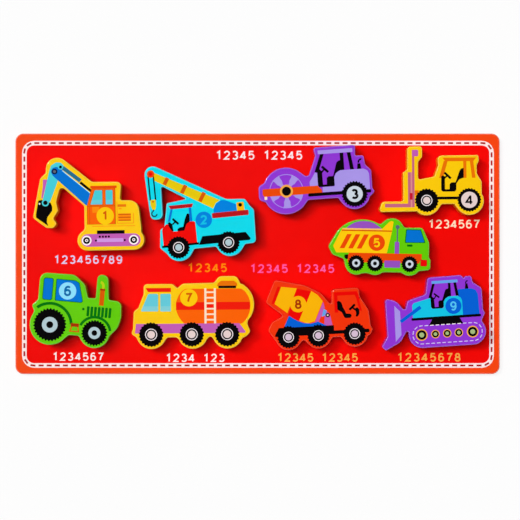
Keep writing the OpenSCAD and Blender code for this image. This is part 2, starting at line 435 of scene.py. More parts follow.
class Ink(Enum):
    """Printing inks."""

    BLACK = PrintedInk("black_ink", (8, 6, 8))
    WHITE = PrintedInk("white_ink", (252, 240, 244))
    GREY = PrintedInk("grey_ink", (202, 212, 222))
    STEEL = PrintedInk("steel_ink", (178, 201, 208))
    ROSE = PrintedInk("rose_ink", (229, 208, 205))
    CREAM = PrintedInk("cream_ink", (255, 226, 196))
    BUTTER = PrintedInk("butter_ink", (252, 190, 100))
    PEARL = PrintedInk("pearl_ink", (214, 204, 240))
    BAND = PrintedInk("band_ink", (255, 232, 232))
    DASH = PrintedInk("dash_ink", (172, 32, 34))
    FIELD = PrintedInk("field_ink", (239, 9, 6), 0.18)
    RED = PrintedInk("red_ink", (236, 8, 4))
    DARK_RED = PrintedInk("dark_red_ink", (184, 20, 28))
    RUST = PrintedInk("rust_ink", (214, 88, 4))
    CRIMSON = PrintedInk("crimson_ink", (198, 22, 46))
    BRICK = PrintedInk("brick_ink", (166, 48, 4))
    SCARLET = PrintedInk("scarlet_ink", (240, 28, 10))
    COPPER = PrintedInk("copper_ink", (234, 114, 6))
    HONEY = PrintedInk("honey_ink", (244, 170, 72))
    EMBER = PrintedInk("ember_ink", (234, 72, 6))
    ORANGE = PrintedInk("orange_ink", (252, 98, 6))
    AMBER = PrintedInk("amber_ink", (255, 140, 10))
    GOLD = PrintedInk("gold_ink", (250, 180, 8))
    YELLOW = PrintedInk("yellow_ink", (255, 202, 12))
    LEMON = PrintedInk("lemon_ink", (230, 200, 12))
    AQUA = PrintedInk("aqua_ink", (70, 204, 216))
    CYAN = PrintedInk("cyan_ink", (20, 194, 226))
    ICE = PrintedInk("ice_ink", (140, 222, 250))
    GLASS = PrintedInk("glass_ink", (102, 202, 218))
    FROST = PrintedInk("frost_ink", (130, 206, 214))
    BLUE = PrintedInk("blue_ink", (4, 114, 210))
    AZURE = PrintedInk("azure_ink", (2, 130, 222))
    COBALT = PrintedInk("cobalt_ink", (6, 96, 212))
    SKY = PrintedInk("sky_ink", (84, 198, 242))
    PERIWINKLE = PrintedInk("periwinkle_ink", (102, 162, 234))
    SLATE = PrintedInk("slate_ink", (92, 102, 118))
    TEAL = PrintedInk("teal_ink", (38, 110, 142))
    MARINE = PrintedInk("marine_ink", (12, 106, 170))
    NAVY = PrintedInk("navy_ink", (8, 22, 60))
    LAVENDER = PrintedInk("lavender_ink", (168, 148, 230))
    LILAC = PrintedInk("lilac_ink", (208, 152, 226))
    MAUVE = PrintedInk("mauve_ink", (193, 92, 180))
    VIOLET = PrintedInk("violet_ink", (150, 80, 190))
    ORCHID = PrintedInk("orchid_ink", (197, 101, 130))
    BLUSH = PrintedInk("blush_ink", (220, 140, 140))
    MIST = PrintedInk("mist_ink", (214, 190, 210))
    SAGE = PrintedInk("sage_ink", (166, 188, 126))
    PINK = PrintedInk("pink_ink", (255, 92, 168))
    DARK_GREEN = PrintedInk("dark_green_ink", (4, 112, 12))
    LIME = PrintedInk("lime_ink", (190, 208, 18))

    def material(self) -> bpy.types.Material:
        """The ink's material."""
        return self.value.material()


def finish_piece(
    name: str, mesh: BMesh, materials: Sequence[bpy.types.Material], body: str, slot: str
) -> bpy.types.Object:
    """Makes an object of a finished mesh and sets it on its body.

    Args:
        name: Name of the piece.
        mesh: Its mesh, in metres and in place. It is freed.
        materials: Its materials, in the order of the faces' indices.
        body: The body that it moves with.
        slot: The record's material slot. It is not used.

    Returns:
        The object.
    """
    data = bpy.data.meshes.new(name)
    mesh.to_mesh(data)
    mesh.free()
    for material in materials:
        data.materials.append(material)
    piece = bpy.data.objects.new(name, data)
    bpy.context.scene.collection.objects.link(piece)
    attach(piece, body)
    log.info("%s: %d faces on %s", name, len(data.polygons), body)
    return piece


def thicken(mesh: BMesh, faces: Sequence[BMFace], height: float) -> list[BMVert | BMEdge | BMFace]:
    """Raises flat faces into a solid.

    Args:
        mesh: Their mesh.
        faces: The faces.
        height: How far they go up.

    Returns:
        The raised vertices, edges and faces.
    """
    grown = bmesh.ops.extrude_face_region(mesh, geom=list(faces))["geom"]
    raised = [item for item in grown if isinstance(item, BMVert)]
    bmesh.ops.translate(mesh, verts=raised, vec=(0, 0, height))
    return grown


def level_edges(mesh: BMesh) -> list[BMEdge]:
    """The edges of a mesh that lie level."""
    return [edge for edge in mesh.edges if abs(edge.verts[0].co.z - edge.verts[1].co.z) < WELD]


def round_edges(
    mesh: BMesh, edges: Sequence[BMEdge], radius: float, steps: int = EDGE_STEPS, clamp: bool = True
) -> None:
    """Rounds edges of a mesh.

    Args:
        mesh: The mesh.
        edges: The edges.
        radius: Radius of the rounding.
        steps: Faces across it.
        clamp: Whether it stops short of its neighbours.
    """
    bmesh.ops.bevel(
        mesh, geom=list(edges), offset=radius, offset_type="OFFSET", segments=steps,
        profile=0.5, affect="EDGES", clamp_overlap=clamp, material=-1,
    )


def smooth_faces(mesh: BMesh, crease: float = 35.0) -> None:
    """Shades a mesh smooth, apart from its creases.

    Args:
        mesh: The mesh.
        crease: Angle in degrees from which an edge stays sharp.
    """
    for face in mesh.faces:
        face.smooth = True
    for edge in mesh.edges:
        edge.smooth = edge.calc_face_angle(0.0) < math.radians(crease)


def mark_edges(mesh: BMesh) -> None:
    """Marks the rounded edges of a mesh, where its paint carries a painted highlight.

    Args:
        mesh: The mesh, with level faces between upright sides.
    """
    highlight = mesh.verts.layers.float.new(EDGE_HIGHLIGHT)
    mesh.normal_update()
    for vert in mesh.verts:
        vert[highlight] = float(HIGHLIGHT_SLOPES[0] < vert.normal.z ** 2 < HIGHLIGHT_SLOPES[1])


def even_normals(piece: bpy.types.Object) -> None:
    """Keeps a piece's large faces flat where they meet rounded edges."""
    piece.modifiers.new("even_normals", "WEIGHTED_NORMAL").keep_sharp = True


def bow(centre: Point, radii: Point, start: float, end: float) -> list[Vector]:
    """Spaces points along part of an ellipse.

    Args:
        centre: Its middle.
        radii: Its half width and half height.
        start: Angle in degrees of the first point.
        end: Angle in degrees of the last point.

    Returns:
        The points, about BOW_STEP apart.
    """
    steps = max(3, round(abs(end - start) / BOW_STEP))
    angles = [math.radians(start + (end - start) * i / steps) for i in range(steps + 1)]
    middle = Vector(centre)
    return [middle + Vector((radii[0] * math.cos(a), radii[1] * math.sin(a))) for a in angles]


def corners(*points: Point) -> list[Vector]:
    """Points along straight strokes."""
    return [Vector(point) for point in points]


# Width of a digit's strokes and the paths of its strokes, for a digit of height 1.
STROKE = 0.2
DIGITS: dict[int, list[list[Vector]]] = {
    1: [corners((-0.2, 0.24), (0.06, 0.41), (0.06, -0.41))],
    2: [bow((0.0, 0.18), (0.25, 0.235), 170, -40) + corners((-0.26, -0.41), (0.27, -0.41))],
    3: [bow((-0.01, 0.21), (0.23, 0.2), 150, -90), bow((-0.01, -0.2), (0.26, 0.21), 90, -150)],
    4: [corners((0.12, 0.4), (-0.27, -0.2), (0.3, -0.2)), corners((0.12, 0.41), (0.12, -0.41))],
    5: [corners((0.23, 0.4), (-0.18, 0.4), (-0.22, 0.03))
        + bow((0.0, -0.15), (0.26, 0.26), 118, -150)],
    6: [bow((0.02, 0.0), (0.27, 0.41), 50, 190), bow((0.0, -0.16), (0.25, 0.25), 180, -179)],
    7: [corners((-0.26, 0.4), (0.25, 0.4), (0.02, -0.05), (-0.06, -0.41))],
    8: [bow((0.0, 0.2), (0.2, 0.205), 90, -269), bow((0.0, -0.18), (0.25, 0.23), 90, -269)],
    9: [bow((-0.02, 0.0), (0.27, 0.41), 230, 370), bow((0.0, 0.16), (0.25, 0.25), 0, 359)],
}


@dataclass
class RoundedLoop:
    """A rectangle with rounded corners, as a path to walk along."""

    low: Point
    high: Point
    radius: float

    def walk(self, pitch: float, start: float) -> list[tuple[Point, float]]:
        """Spaces points evenly along the path, clockwise from the upper edge's left end.

        Args:
            pitch: Wanted spacing, which is adjusted so that whole steps close the path.
            start: Distance of the first point from the start of the path.

        Returns:
            Each point with its heading in radians.
        """
        (x0, y0), (x1, y1), r = self.low, self.high, self.radius
        sides = [
            ((x0 + r, y1), 0.0, x1 - x0 - 2 * r), ((x1, y1 - r), -math.pi / 2, y1 - y0 - 2 * r),
            ((x1 - r, y0), math.pi, x1 - x0 - 2 * r), ((x0, y0 + r), math.pi / 2, y1 - y0 - 2 * r),
        ]
        bend = r * math.pi / 2
        total = sum(length + bend for _, _, length in sides)
        count = round(total / pitch)
        marks = []
        for i in range(count):
            s = (start + i * total / count) % total
            for (x, y), heading, length in sides:
                if s < length + bend:
                    break
                s -= length + bend
            along = min(s, length)
            turn = max(0.0, s - length) / r
            point = Vector((x, y)) + along * Vector((math.cos(heading), math.sin(heading)))
            inward = Vector((math.sin(heading), -math.cos(heading)))
            centre = point + r * inward
            point = centre - r * (Matrix.Rotation(-turn, 2) @ inward)
            marks.append((tuple(point), heading - turn))
        return marks


class PrintSheet:
    """Ink on a flat face: thin closed plates, drawn in millimetres, each over the ones before."""

    # How far plates reach into the wood, and the height that each layer adds.
    SUNK: ClassVar[float] = 0.04
    LAYER: ClassVar[float] = 0.012
    # Sides of a rounded corner, and the degrees of an arc that one side takes.
    CORNER_STEPS: ClassVar[int] = 5
    ARC_STEP: ClassVar[float] = 7.0
    # Sides of a disc. One up to the small radius has half as many.
    DISC_SIDES: ClassVar[int] = 48
    SMALL_DISC: ClassVar[float] = 1.5
    # Rounding of a stroke's ends as a share of its width, and the least cosine at its bends.
    END_ROUNDING: ClassVar[float] = 0.45
    SHARPEST_BEND: ClassVar[float] = 0.4
    # Width of a wheel's ring, and how far its middle lies inside its edge.
    RING_WIDTH: ClassVar[float] = 0.45
    RING_INSET: ClassVar[float] = 0.22

    def __init__(self) -> None:
        """Starts a bare sheet."""
        self.mesh = bmesh.new()
        self.inks: list[Ink] = []
        self.laid: list[tuple[Vector, Vector, int]] = []

    def _layer(self, flat: Sequence[BMFace]) -> int:
        """Finds the lowest free layer for a new shape, and takes it.

        Args:
            flat: The shape's flat faces.

        Returns:
            One more than the highest layer of the shapes whose boxes it meets.
        """
        spots = [vert.co for face in flat for vert in face.verts]
        low = Vector((min(p.x for p in spots), min(p.y for p in spots)))
        high = Vector((max(p.x for p in spots), max(p.y for p in spots)))
        below = [
            layer for a, b, layer in self.laid
            if a.x < high.x and low.x < b.x and a.y < high.y and low.y < b.y
        ]
        layer = max(below, default=0) + 1
        self.laid.append((low, high, layer))
        return layer

    def _lay(self, before: set[BMFace], ink: Ink) -> None:
        """Thickens the flat faces that are new and gives them their ink.

        Args:
            before: The faces that were there already.
            ink: Ink of the new plate.
        """
        flat = [face for face in self.mesh.faces if face not in before]
        height = self.SUNK + self.LAYER * self._layer(flat)
        thicken(self.mesh, flat, height)
        if ink not in self.inks:
            self.inks.append(ink)
        plate = [face for face in self.mesh.faces if face not in before]
        for face in plate:
            face.material_index = self.inks.index(ink)
        bmesh.ops.recalc_face_normals(self.mesh, faces=plate)

    def panel(self, ink: Ink, points: Sequence[Point], corner: float = 0.0) -> None:
        """Prints a flat area.

        Args:
            ink: Its ink.
            points: Its corners.
            corner: How far each corner is rounded.
        """
        before = set(self.mesh.faces)
        outline = [self.mesh.verts.new((x, y, 0.0)) for x, y in points]
        self.mesh.faces.new(outline)
        if corner > 0:
            self._round(outline, corner)
        self._lay(before, ink)

    def _round(self, verts: Sequence[BMVert], corner: float) -> None:
        """Rounds corners of a flat shape.

        Args:
            verts: The corners.
            corner: How far each is rounded.
        """
        bmesh.ops.bevel(
            self.mesh, geom=list(verts), offset=corner, offset_type="OFFSET",
            segments=self.CORNER_STEPS, profile=0.5, affect="VERTICES", clamp_overlap=True,
            material=-1,
        )

    def box(self, ink: Ink, low: Point, high: Point, corner: float = 0.0) -> None:
        """Prints an upright rectangle.

        Args:
            ink: Its ink.
            low: Its lower left corner.
            high: Its upper right corner.
            corner: How far each corner is rounded.
        """
        (x0, y0), (x1, y1) = low, high
        self.panel(ink, [(x0, y0), (x1, y0), (x1, y1), (x0, y1)], corner)

    def bar(self, ink: Ink, start: Point, end: Point, width: float, corner: float = 0.0) -> None:
        """Prints a straight bar.

        Args:
            ink: Its ink.
            start: Middle of one end.
            end: Middle of the other end.
            width: Its width.
            corner: How far its corners are rounded.
        """
        run = Vector(end) - Vector(start)
        side = run.orthogonal().normalized() * width / 2
        a, b = Vector(start), Vector(end)
        self.panel(ink, [tuple(p) for p in (a - side, b - side, b + side, a + side)], corner)

    def dash(self, ink: Ink, centre: Point, heading: float, length: float, width: float) -> None:
        """Prints a short bar about its middle.

        Args:
            ink: Its ink.
            centre: Its middle.
            heading: The way that it runs, in radians.
            length: Its length.
            width: Its width.
        """
        run = Vector((math.cos(heading), math.sin(heading))) * length / 2
        self.bar(ink, tuple(Vector(centre) - run), tuple(Vector(centre) + run), width)

    def target(self, centre: Point, *rings: tuple[Ink, float]) -> None:
        """Prints discs over each other.

        Args:
            centre: Their middle.
            rings: The ink and the radius of each, the largest first.
        """
        for ink, radius in rings:
            self.disc(ink, centre, radius)

    def disc(self, ink: Ink, centre: Point, radius: float) -> None:
        """Prints a disc.

        Args:
            ink: Its ink.
            centre: Its middle.
            radius: Its radius.
        """
        before = set(self.mesh.faces)
        sides = self.DISC_SIDES if radius > self.SMALL_DISC else self.DISC_SIDES // 2
        place = Matrix.Translation((*centre, 0.0))
        bmesh.ops.create_circle(
            self.mesh, cap_ends=True, segments=sides, radius=radius, matrix=place
        )
        self._lay(before, ink)

    def arc(
        self, ink: Ink, centre: Point, radius: float, width: float, start: float, end: float
    ) -> None:
        """Prints a curved band, or a ring where it goes all the way round.

        Args:
            ink: Its ink.
            centre: Middle of its circle.
            radius: Radius at the middle of the band.
            width: Width of the band.
            start: Angle in degrees where it starts.
            end: Angle in degrees where it ends.
        """
        before = set(self.mesh.faces)
        middle = Vector((*centre, 0.0))
        spoke = Vector((math.cos(math.radians(start)), math.sin(math.radians(start)), 0.0))
        reach = (radius - width / 2, radius + width / 2)
        ends = [self.mesh.verts.new(middle + spoke * length) for length in reach]
        edge = self.mesh.edges.new(ends)
        turn = end - start
        bmesh.ops.spin(
            self.mesh, geom=[*ends, edge], cent=middle, axis=(0, 0, 1), angle=math.radians(turn),
            steps=max(4, round(abs(turn) / self.ARC_STEP)), use_merge=abs(turn) >= 360,
        )
        self._lay(before, ink)

    def stroke(self, ink: Ink, path: Sequence[Vector], width: float) -> None:
        """Prints a line of even width along a path, with rounded ends.

        Args:
            ink: Its ink.
            path: The points along its middle.
            width: Its width.
        """
        before = set(self.mesh.faces)
        sides = [self._side(path, i) * width / 2 for i in range(len(path))]
        ends = [self.mesh.verts.new((*(path[0] + s * sides[0]), 0.0)) for s in (-1, 1)]
        tail = list(ends)
        self.mesh.edges.new(ends)
        for spot, side in zip(path[1:], sides[1:]):
            edge = self.mesh.edges.get(ends)
            grown = bmesh.ops.extrude_edge_only(self.mesh, edges=[edge])["geom"]
            fresh = [item for item in grown if isinstance(item, BMVert)]
            ends = sorted(fresh, key=lambda vert: (vert.co - ends[0].co).length)
            for vert, s in zip(ends, (-1, 1)):
                vert.co = (*(spot + s * side), 0.0)
        self._round([*tail, *ends], width * self.END_ROUNDING)
        self._lay(before, ink)

    @classmethod
    def _side(cls, path: Sequence[Vector], i: int) -> Vector:
        """Finds the way across a path at one of its points.

        Args:
            path: The path.
            i: Number of the point.

        Returns:
            A unit vector to the left, made longer at a bend so that the line keeps its width.
        """
        runs = [path[k + 1] - path[k] for k in (i - 1, i) if 0 <= k < len(path) - 1]
        lefts = [Vector((-run.y, run.x)).normalized() for run in runs]
        across = sum(lefts, Vector((0.0, 0.0))).normalized()
        return across / max(cls.SHARPEST_BEND, across.dot(lefts[0]))

    def tyre(self, centre: Point, radius: float, lugs: int = 22, lug: float = 0.5) -> None:
        """Prints a black tyre with lugs round its edge.

        Args:
            centre: Its middle.
            radius: Radius over the lugs.
            lugs: Number of lugs.
            lug: Height of a lug.
        """
        before = set(self.mesh.faces)
        rim = bmesh.ops.create_circle(
            self.mesh, cap_ends=True, segments=4 * lugs, radius=radius
        )["verts"]
        notch = 1 - lug / radius
        gaps = [vert for i, vert in enumerate(rim) if i % 4 > 1]
        bmesh.ops.scale(self.mesh, vec=(notch, notch, 1.0), verts=gaps)
        bmesh.ops.translate(self.mesh, verts=rim, vec=(*centre, 0.0))
        self._lay(before, Ink.BLACK)

    def wheel(self, centre: Point, radius: float, hub: Ink, ring: float, disc: float) -> None:
        """Prints a tyre with a white ring and a pale hub.

        Args:
            centre: Its middle.
            radius: Radius over the lugs.
            hub: Ink of the hub.
            ring: Radius outside the ring.
            disc: Radius of the hub.
        """
        self.tyre(centre, radius)
        self.arc(Ink.WHITE, centre, ring - self.RING_INSET, self.RING_WIDTH, 0, 360)
        self.disc(hub, centre, disc)

    def numeral(
        self, ink: Ink, digit: int, centre: Point, height: float, weight: float = STROKE
    ) -> None:
        """Prints a digit in round strokes.

        Args:
            ink: Its ink.
            digit: The number, 1 to 9.
            centre: Its middle.
            height: Its height.
            weight: Width of its strokes, as a share of its height.
        """
        for path in DIGITS[digit]:
            points = [Vector(centre) + spot * height for spot in path]
            self.stroke(ink, points, height * weight)

    def finish(self, name: str, place: Matrix, body: str, slot: str) -> None:
        """Sets the finished print on its face.

        Args:
            name: Name of the piece.
            place: From the sheet's millimetres to the row frame, with the bare face at 0.
            body: The body that it moves with.
            slot: The record's material slot.
        """
        sink = Matrix.Translation((0, 0, -self.SUNK))
        bmesh.ops.transform(self.mesh, matrix=place @ sink, verts=self.mesh.verts)
        finish_piece(name, self.mesh, [ink.material() for ink in self.inks], body, slot)


class Fastener(Enum):
    """The two halves of a hook and loop fastener, each in its own nylon."""

    HOOK = Nylon("hook_nylon", (246, 240, 228), 0.35, 0.0)
    LOOP = Nylon("loop_nylon", (250, 246, 236), 0.7, 0.3)

    @property
    def word(self) -> str:
        """The half's word in the names of its nodes."""
        return self.name.lower()


@dataclass
class FastenerDots:
    """The two round dots of one half of a fastener, with their hooks or loops.

    Lengths are in millimetres, apart from base_z in metres. A bend is a radius and degrees, the
    lean is in radians, and towards is 1 for strands that point up and -1 for down.
    """

    half: Fastener
    node: str
    body: str
    middles: Sequence[Vector]
    base_z: float
    towards: int
    diameter: float = 14.0
    sides: int = 56
    backing: float = 0.45
    backing_round: float = 0.15
    margin: float = 0.7
    pile: float = 0.72
    pitch: float = 1.15
    loop_slack: float = 0.22
    lean: float = 0.14
    rooted: float = 0.08
    thread: float = 0.11
    thread_sides: int = 5
    hook_bend: Point = (0.2, 205.0)
    loop_bend: Point = (0.34, 180.0)
    bend_steps: int = 5
    crease: float = 50.0

    def build(self) -> None:
        """Models both dots and lets them stand for their node."""
        mesh = bmesh.new()
        draw = random.Random(self.node)
        strand = self._strand()
        for middle in self.middles:
            for spot in self._spots(draw):
                turn = Matrix.Rotation(draw.uniform(0, 2 * math.pi), 4, "Z")
                lean = Matrix.Rotation(draw.uniform(-self.lean, self.lean), 4, "X")
                place = Matrix.Translation(middle + spot) @ turn @ lean
                self._plant(mesh, strand, place)
        bpy.data.meshes.remove(strand)
        for middle in self.middles:
            self._backing(mesh, middle)
        flip = Matrix.Diagonal((1, 1, self.towards, 1))
        stand = Matrix.Translation((0, 0, self.base_z)) @ flip
        bmesh.ops.transform(mesh, matrix=stand @ Matrix.Scale(MM, 4), verts=mesh.verts)
        bmesh.ops.recalc_face_normals(mesh, faces=mesh.faces)
        smooth_faces(mesh, self.crease)
        nylon = self.half.value
        name = self.node.replace("_dots", "_pads")
        piece = finish_piece(name, mesh, [nylon.material()], self.body, nylon.name)
        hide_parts(self.node)

    def _backing(self, mesh: BMesh, middle: Vector) -> None:
        """Adds the woven backing of one dot.

        Args:
            mesh: The dots' mesh.
            middle: Middle of the dot.
        """
        rim = bmesh.ops.create_circle(
            mesh, cap_ends=True, segments=self.sides, radius=self.diameter / 2,
            matrix=Matrix.Translation(middle),
        )["verts"]
        grown = thicken(mesh, rim[0].link_faces, self.backing)
        top = next(item for item in grown if isinstance(item, BMFace))
        round_edges(mesh, top.edges, self.backing_round, steps=2)

    def _spots(self, draw: random.Random) -> list[Vector]:
        """Finds places for the strands on one dot.

        Args:
            draw: The dots' own random draws.

        Returns:
            Offsets from the middle of the dot, on the backing.
        """
        reach = self.diameter / 2 - self.margin
        count = int(reach / self.pitch)
        slack = 0.0 if self.half is Fastener.HOOK else self.loop_slack
        spots = []
        for row in range(-count, count + 1):
            for column in range(-count - 1, count + 2):
                x = (column + 0.5 * (row % 2)) * self.pitch + draw.uniform(-slack, slack)
                y = row * self.pitch + draw.uniform(-slack, slack)
                if math.hypot(x, y) < reach:
                    spots.append(Vector((x, y, self.backing - self.rooted)))
        return spots

    def _strand(self) -> bpy.types.Mesh:
        """Models one hook or one loop.

        Returns:
            Its mesh, standing on its foot.
        """
        hooks = self.half is Fastener.HOOK
        radius, turn = self.hook_bend if hooks else self.loop_bend
        stem = self.pile - radius - self.thread
        mesh = bmesh.new()
        foot = Matrix.Translation((-radius, 0, 0))
        bmesh.ops.create_circle(
            mesh, segments=self.thread_sides, radius=self.thread, matrix=foot
        )
        edges = list(mesh.edges)
        pulls = 1 if hooks else 2
        for _ in range(pulls):
            edges = self._pull(mesh, edges, (0, 0, stem / pulls))
        verts = list(dict.fromkeys(vert for edge in edges for vert in edge.verts))
        bent = bmesh.ops.spin(
            mesh, geom=[*verts, *edges], cent=(0, 0, stem), axis=(0, 1, 0),
            angle=math.radians(turn), steps=self.bend_steps, use_merge=False,
        )["geom_last"]
        edges = [item for item in bent if isinstance(item, BMEdge)]
        if not hooks:
            self._pull(mesh, edges, (0, 0, -stem))
        open_edges = [edge for edge in mesh.edges if edge.is_boundary]
        bmesh.ops.holes_fill(mesh, edges=open_edges, sides=0)
        bmesh.ops.recalc_face_normals(mesh, faces=mesh.faces)
        data = bpy.data.meshes.new("strand")
        mesh.to_mesh(data)
        mesh.free()
        return data

    @staticmethod
    def _pull(mesh: BMesh, edges: Sequence[BMEdge], way: Triple) -> list[BMEdge]:
        """Draws a strand's open end on.

        Args:
            mesh: The strand's mesh.
            edges: The edges of its open end.
            way: How far it goes.

        Returns:
            The edges of its new end.
        """
        grown = bmesh.ops.extrude_edge_only(mesh, edges=list(edges))["geom"]
        verts = [item for item in grown if isinstance(item, BMVert)]
        bmesh.ops.translate(mesh, verts=verts, vec=way)
        return [item for item in grown if isinstance(item, BMEdge)]

    @staticmethod
    def _plant(mesh: BMesh, strand: bpy.types.Mesh, place: Matrix) -> None:
        """Sets a copy of the strand on the backing.

        Args:
            mesh: The dots' mesh.
            strand: The strand.
            place: Where it stands.
        """
        first = len(mesh.verts)
        mesh.from_mesh(strand)
        mesh.verts.ensure_lookup_table()
        bmesh.ops.transform(mesh, matrix=place, verts=mesh.verts[first:])


@dataclass(frozen=True)
class Label:
    """A counting row on the board: plain numbers from 1 up, in one or two groups."""

    ink: Ink
    low: Point
    high: Point
    groups: tuple[int, ...]
    # A digit's width and the gap between groups as shares of the pitch, and a stroke's width as
    # a share of the height.
    share: ClassVar[float] = 0.72
    space: ClassVar[float] = 0.9
    weight: ClassVar[float] = 0.16

    def draw(self, sheet: PrintSheet) -> None:
        """Prints the row.

        Args:
            sheet: The board's print.
        """
        (x0, y0), (x1, y1) = self.low, self.high
        slots = sum(self.groups) + self.space * (len(self.groups) - 1)
        pitch = (x1 - x0) / (slots - 1 + self.share)
        x = x0 + pitch * self.share / 2
        for group in self.groups:
            for digit in range(1, group + 1):
                sheet.numeral(self.ink, digit, (x, (y0 + y1) / 2), y1 - y0, self.weight)
                x += pitch
            x += pitch * self.space


@dataclass
class VehicleBlock:
    """A wooden block cut to a vehicle's outline, with its print and its fastener dots.

    Its place is X and Y in millimetres and a turn in degrees.
    """

    name: str
    number: int
    paint: Paint
    place: Triple
    dots: tuple[Point, Point]
    label: Label
    edge_radius: float = 0.7
    # Limits for cleaning the outline: distances in metres, and an angle in degrees.
    CUT: ClassVar[float] = 1e-7
    NEAR: ClassVar[float] = 2e-5
    STRAIGHT: ClassVar[float] = 0.8

    @property
    def body(self) -> str:
        """The body that the block moves with."""
        return f"{self.name}_piece"

    def upright(self, z: float) -> Matrix:
        """Finds where the vehicle stands.

        Args:
            z: Height in metres.

        Returns:
            From the vehicle's own millimetres to the row frame.
        """
        x, y, degrees = self.place
        turn = Matrix.Rotation(math.radians(degrees), 4, "Z")
        return Matrix.Translation((x * MM, y * MM, z)) @ turn @ Matrix.Scale(MM, 4)

    def build(self) -> None:
        """Models and dresses the block, its print and its dots."""
        low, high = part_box(self.name)
        self.build_block(low.z, high.z)
        sheet = PrintSheet()
        self.draw(sheet)
        sheet.finish(f"{self.name}_print", self.upright(high.z), self.body, self.paint.slot)
        spots = [self.upright(0.0) @ Vector((*dot, 0.0)) / MM for dot in self.dots]
        for half, body, towards in ((Fastener.HOOK, self.body, -1), (Fastener.LOOP, "board", 1)):
            node = f"{self.name}_{half.word}_dots"
            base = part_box(node)[0 if towards > 0 else 1].z
            FastenerDots(half, node, body, spots, base, towards).build()

    def build_block(self, bottom: float, top: float) -> None:
        """Models the block from its node's outline, with smoothly rounded edges.

        Args:
            bottom: Height of its underside.
            top: Height of its face.
        """
        mesh = bmesh.new()
        mesh.from_mesh(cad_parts[self.name].data)
        bmesh.ops.remove_doubles(mesh, verts=mesh.verts, dist=WELD)
        bmesh.ops.bisect_plane(
            mesh, geom=[*mesh.verts, *mesh.edges, *mesh.faces], dist=self.CUT,
            plane_co=(0, 0, (bottom + top) / 2), plane_no=(0, 0, 1),
            clear_inner=True, clear_outer=True,
        )
        bmesh.ops.remove_doubles(mesh, verts=mesh.verts, dist=self.NEAR)
        bmesh.ops.edgeloop_fill(mesh, edges=mesh.edges)
        bmesh.ops.dissolve_limit(
            mesh, angle_limit=math.radians(self.STRAIGHT), verts=mesh.verts, edges=mesh.edges
        )
        bmesh.ops.translate(mesh, verts=mesh.verts, vec=(0, 0, (bottom - top) / 2))
        thicken(mesh, mesh.faces, top - bottom)
        bmesh.ops.recalc_face_normals(mesh, faces=mesh.faces)
        round_edges(mesh, level_edges(mesh), self.edge_radius * MM, clamp=False)
        smooth_faces(mesh)
        # The rounded edges get a painted highlight.
        mark_edges(mesh)
        piece = finish_piece(
            f"{self.name}_block", mesh, [self.paint.material()], self.body, self.paint.slot
        )
        even_normals(piece)
        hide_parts(self.name)

    def draw(self, sheet: PrintSheet) -> None:
        """Prints the vehicle's picture on the block's sheet."""
        raise NotImplementedError


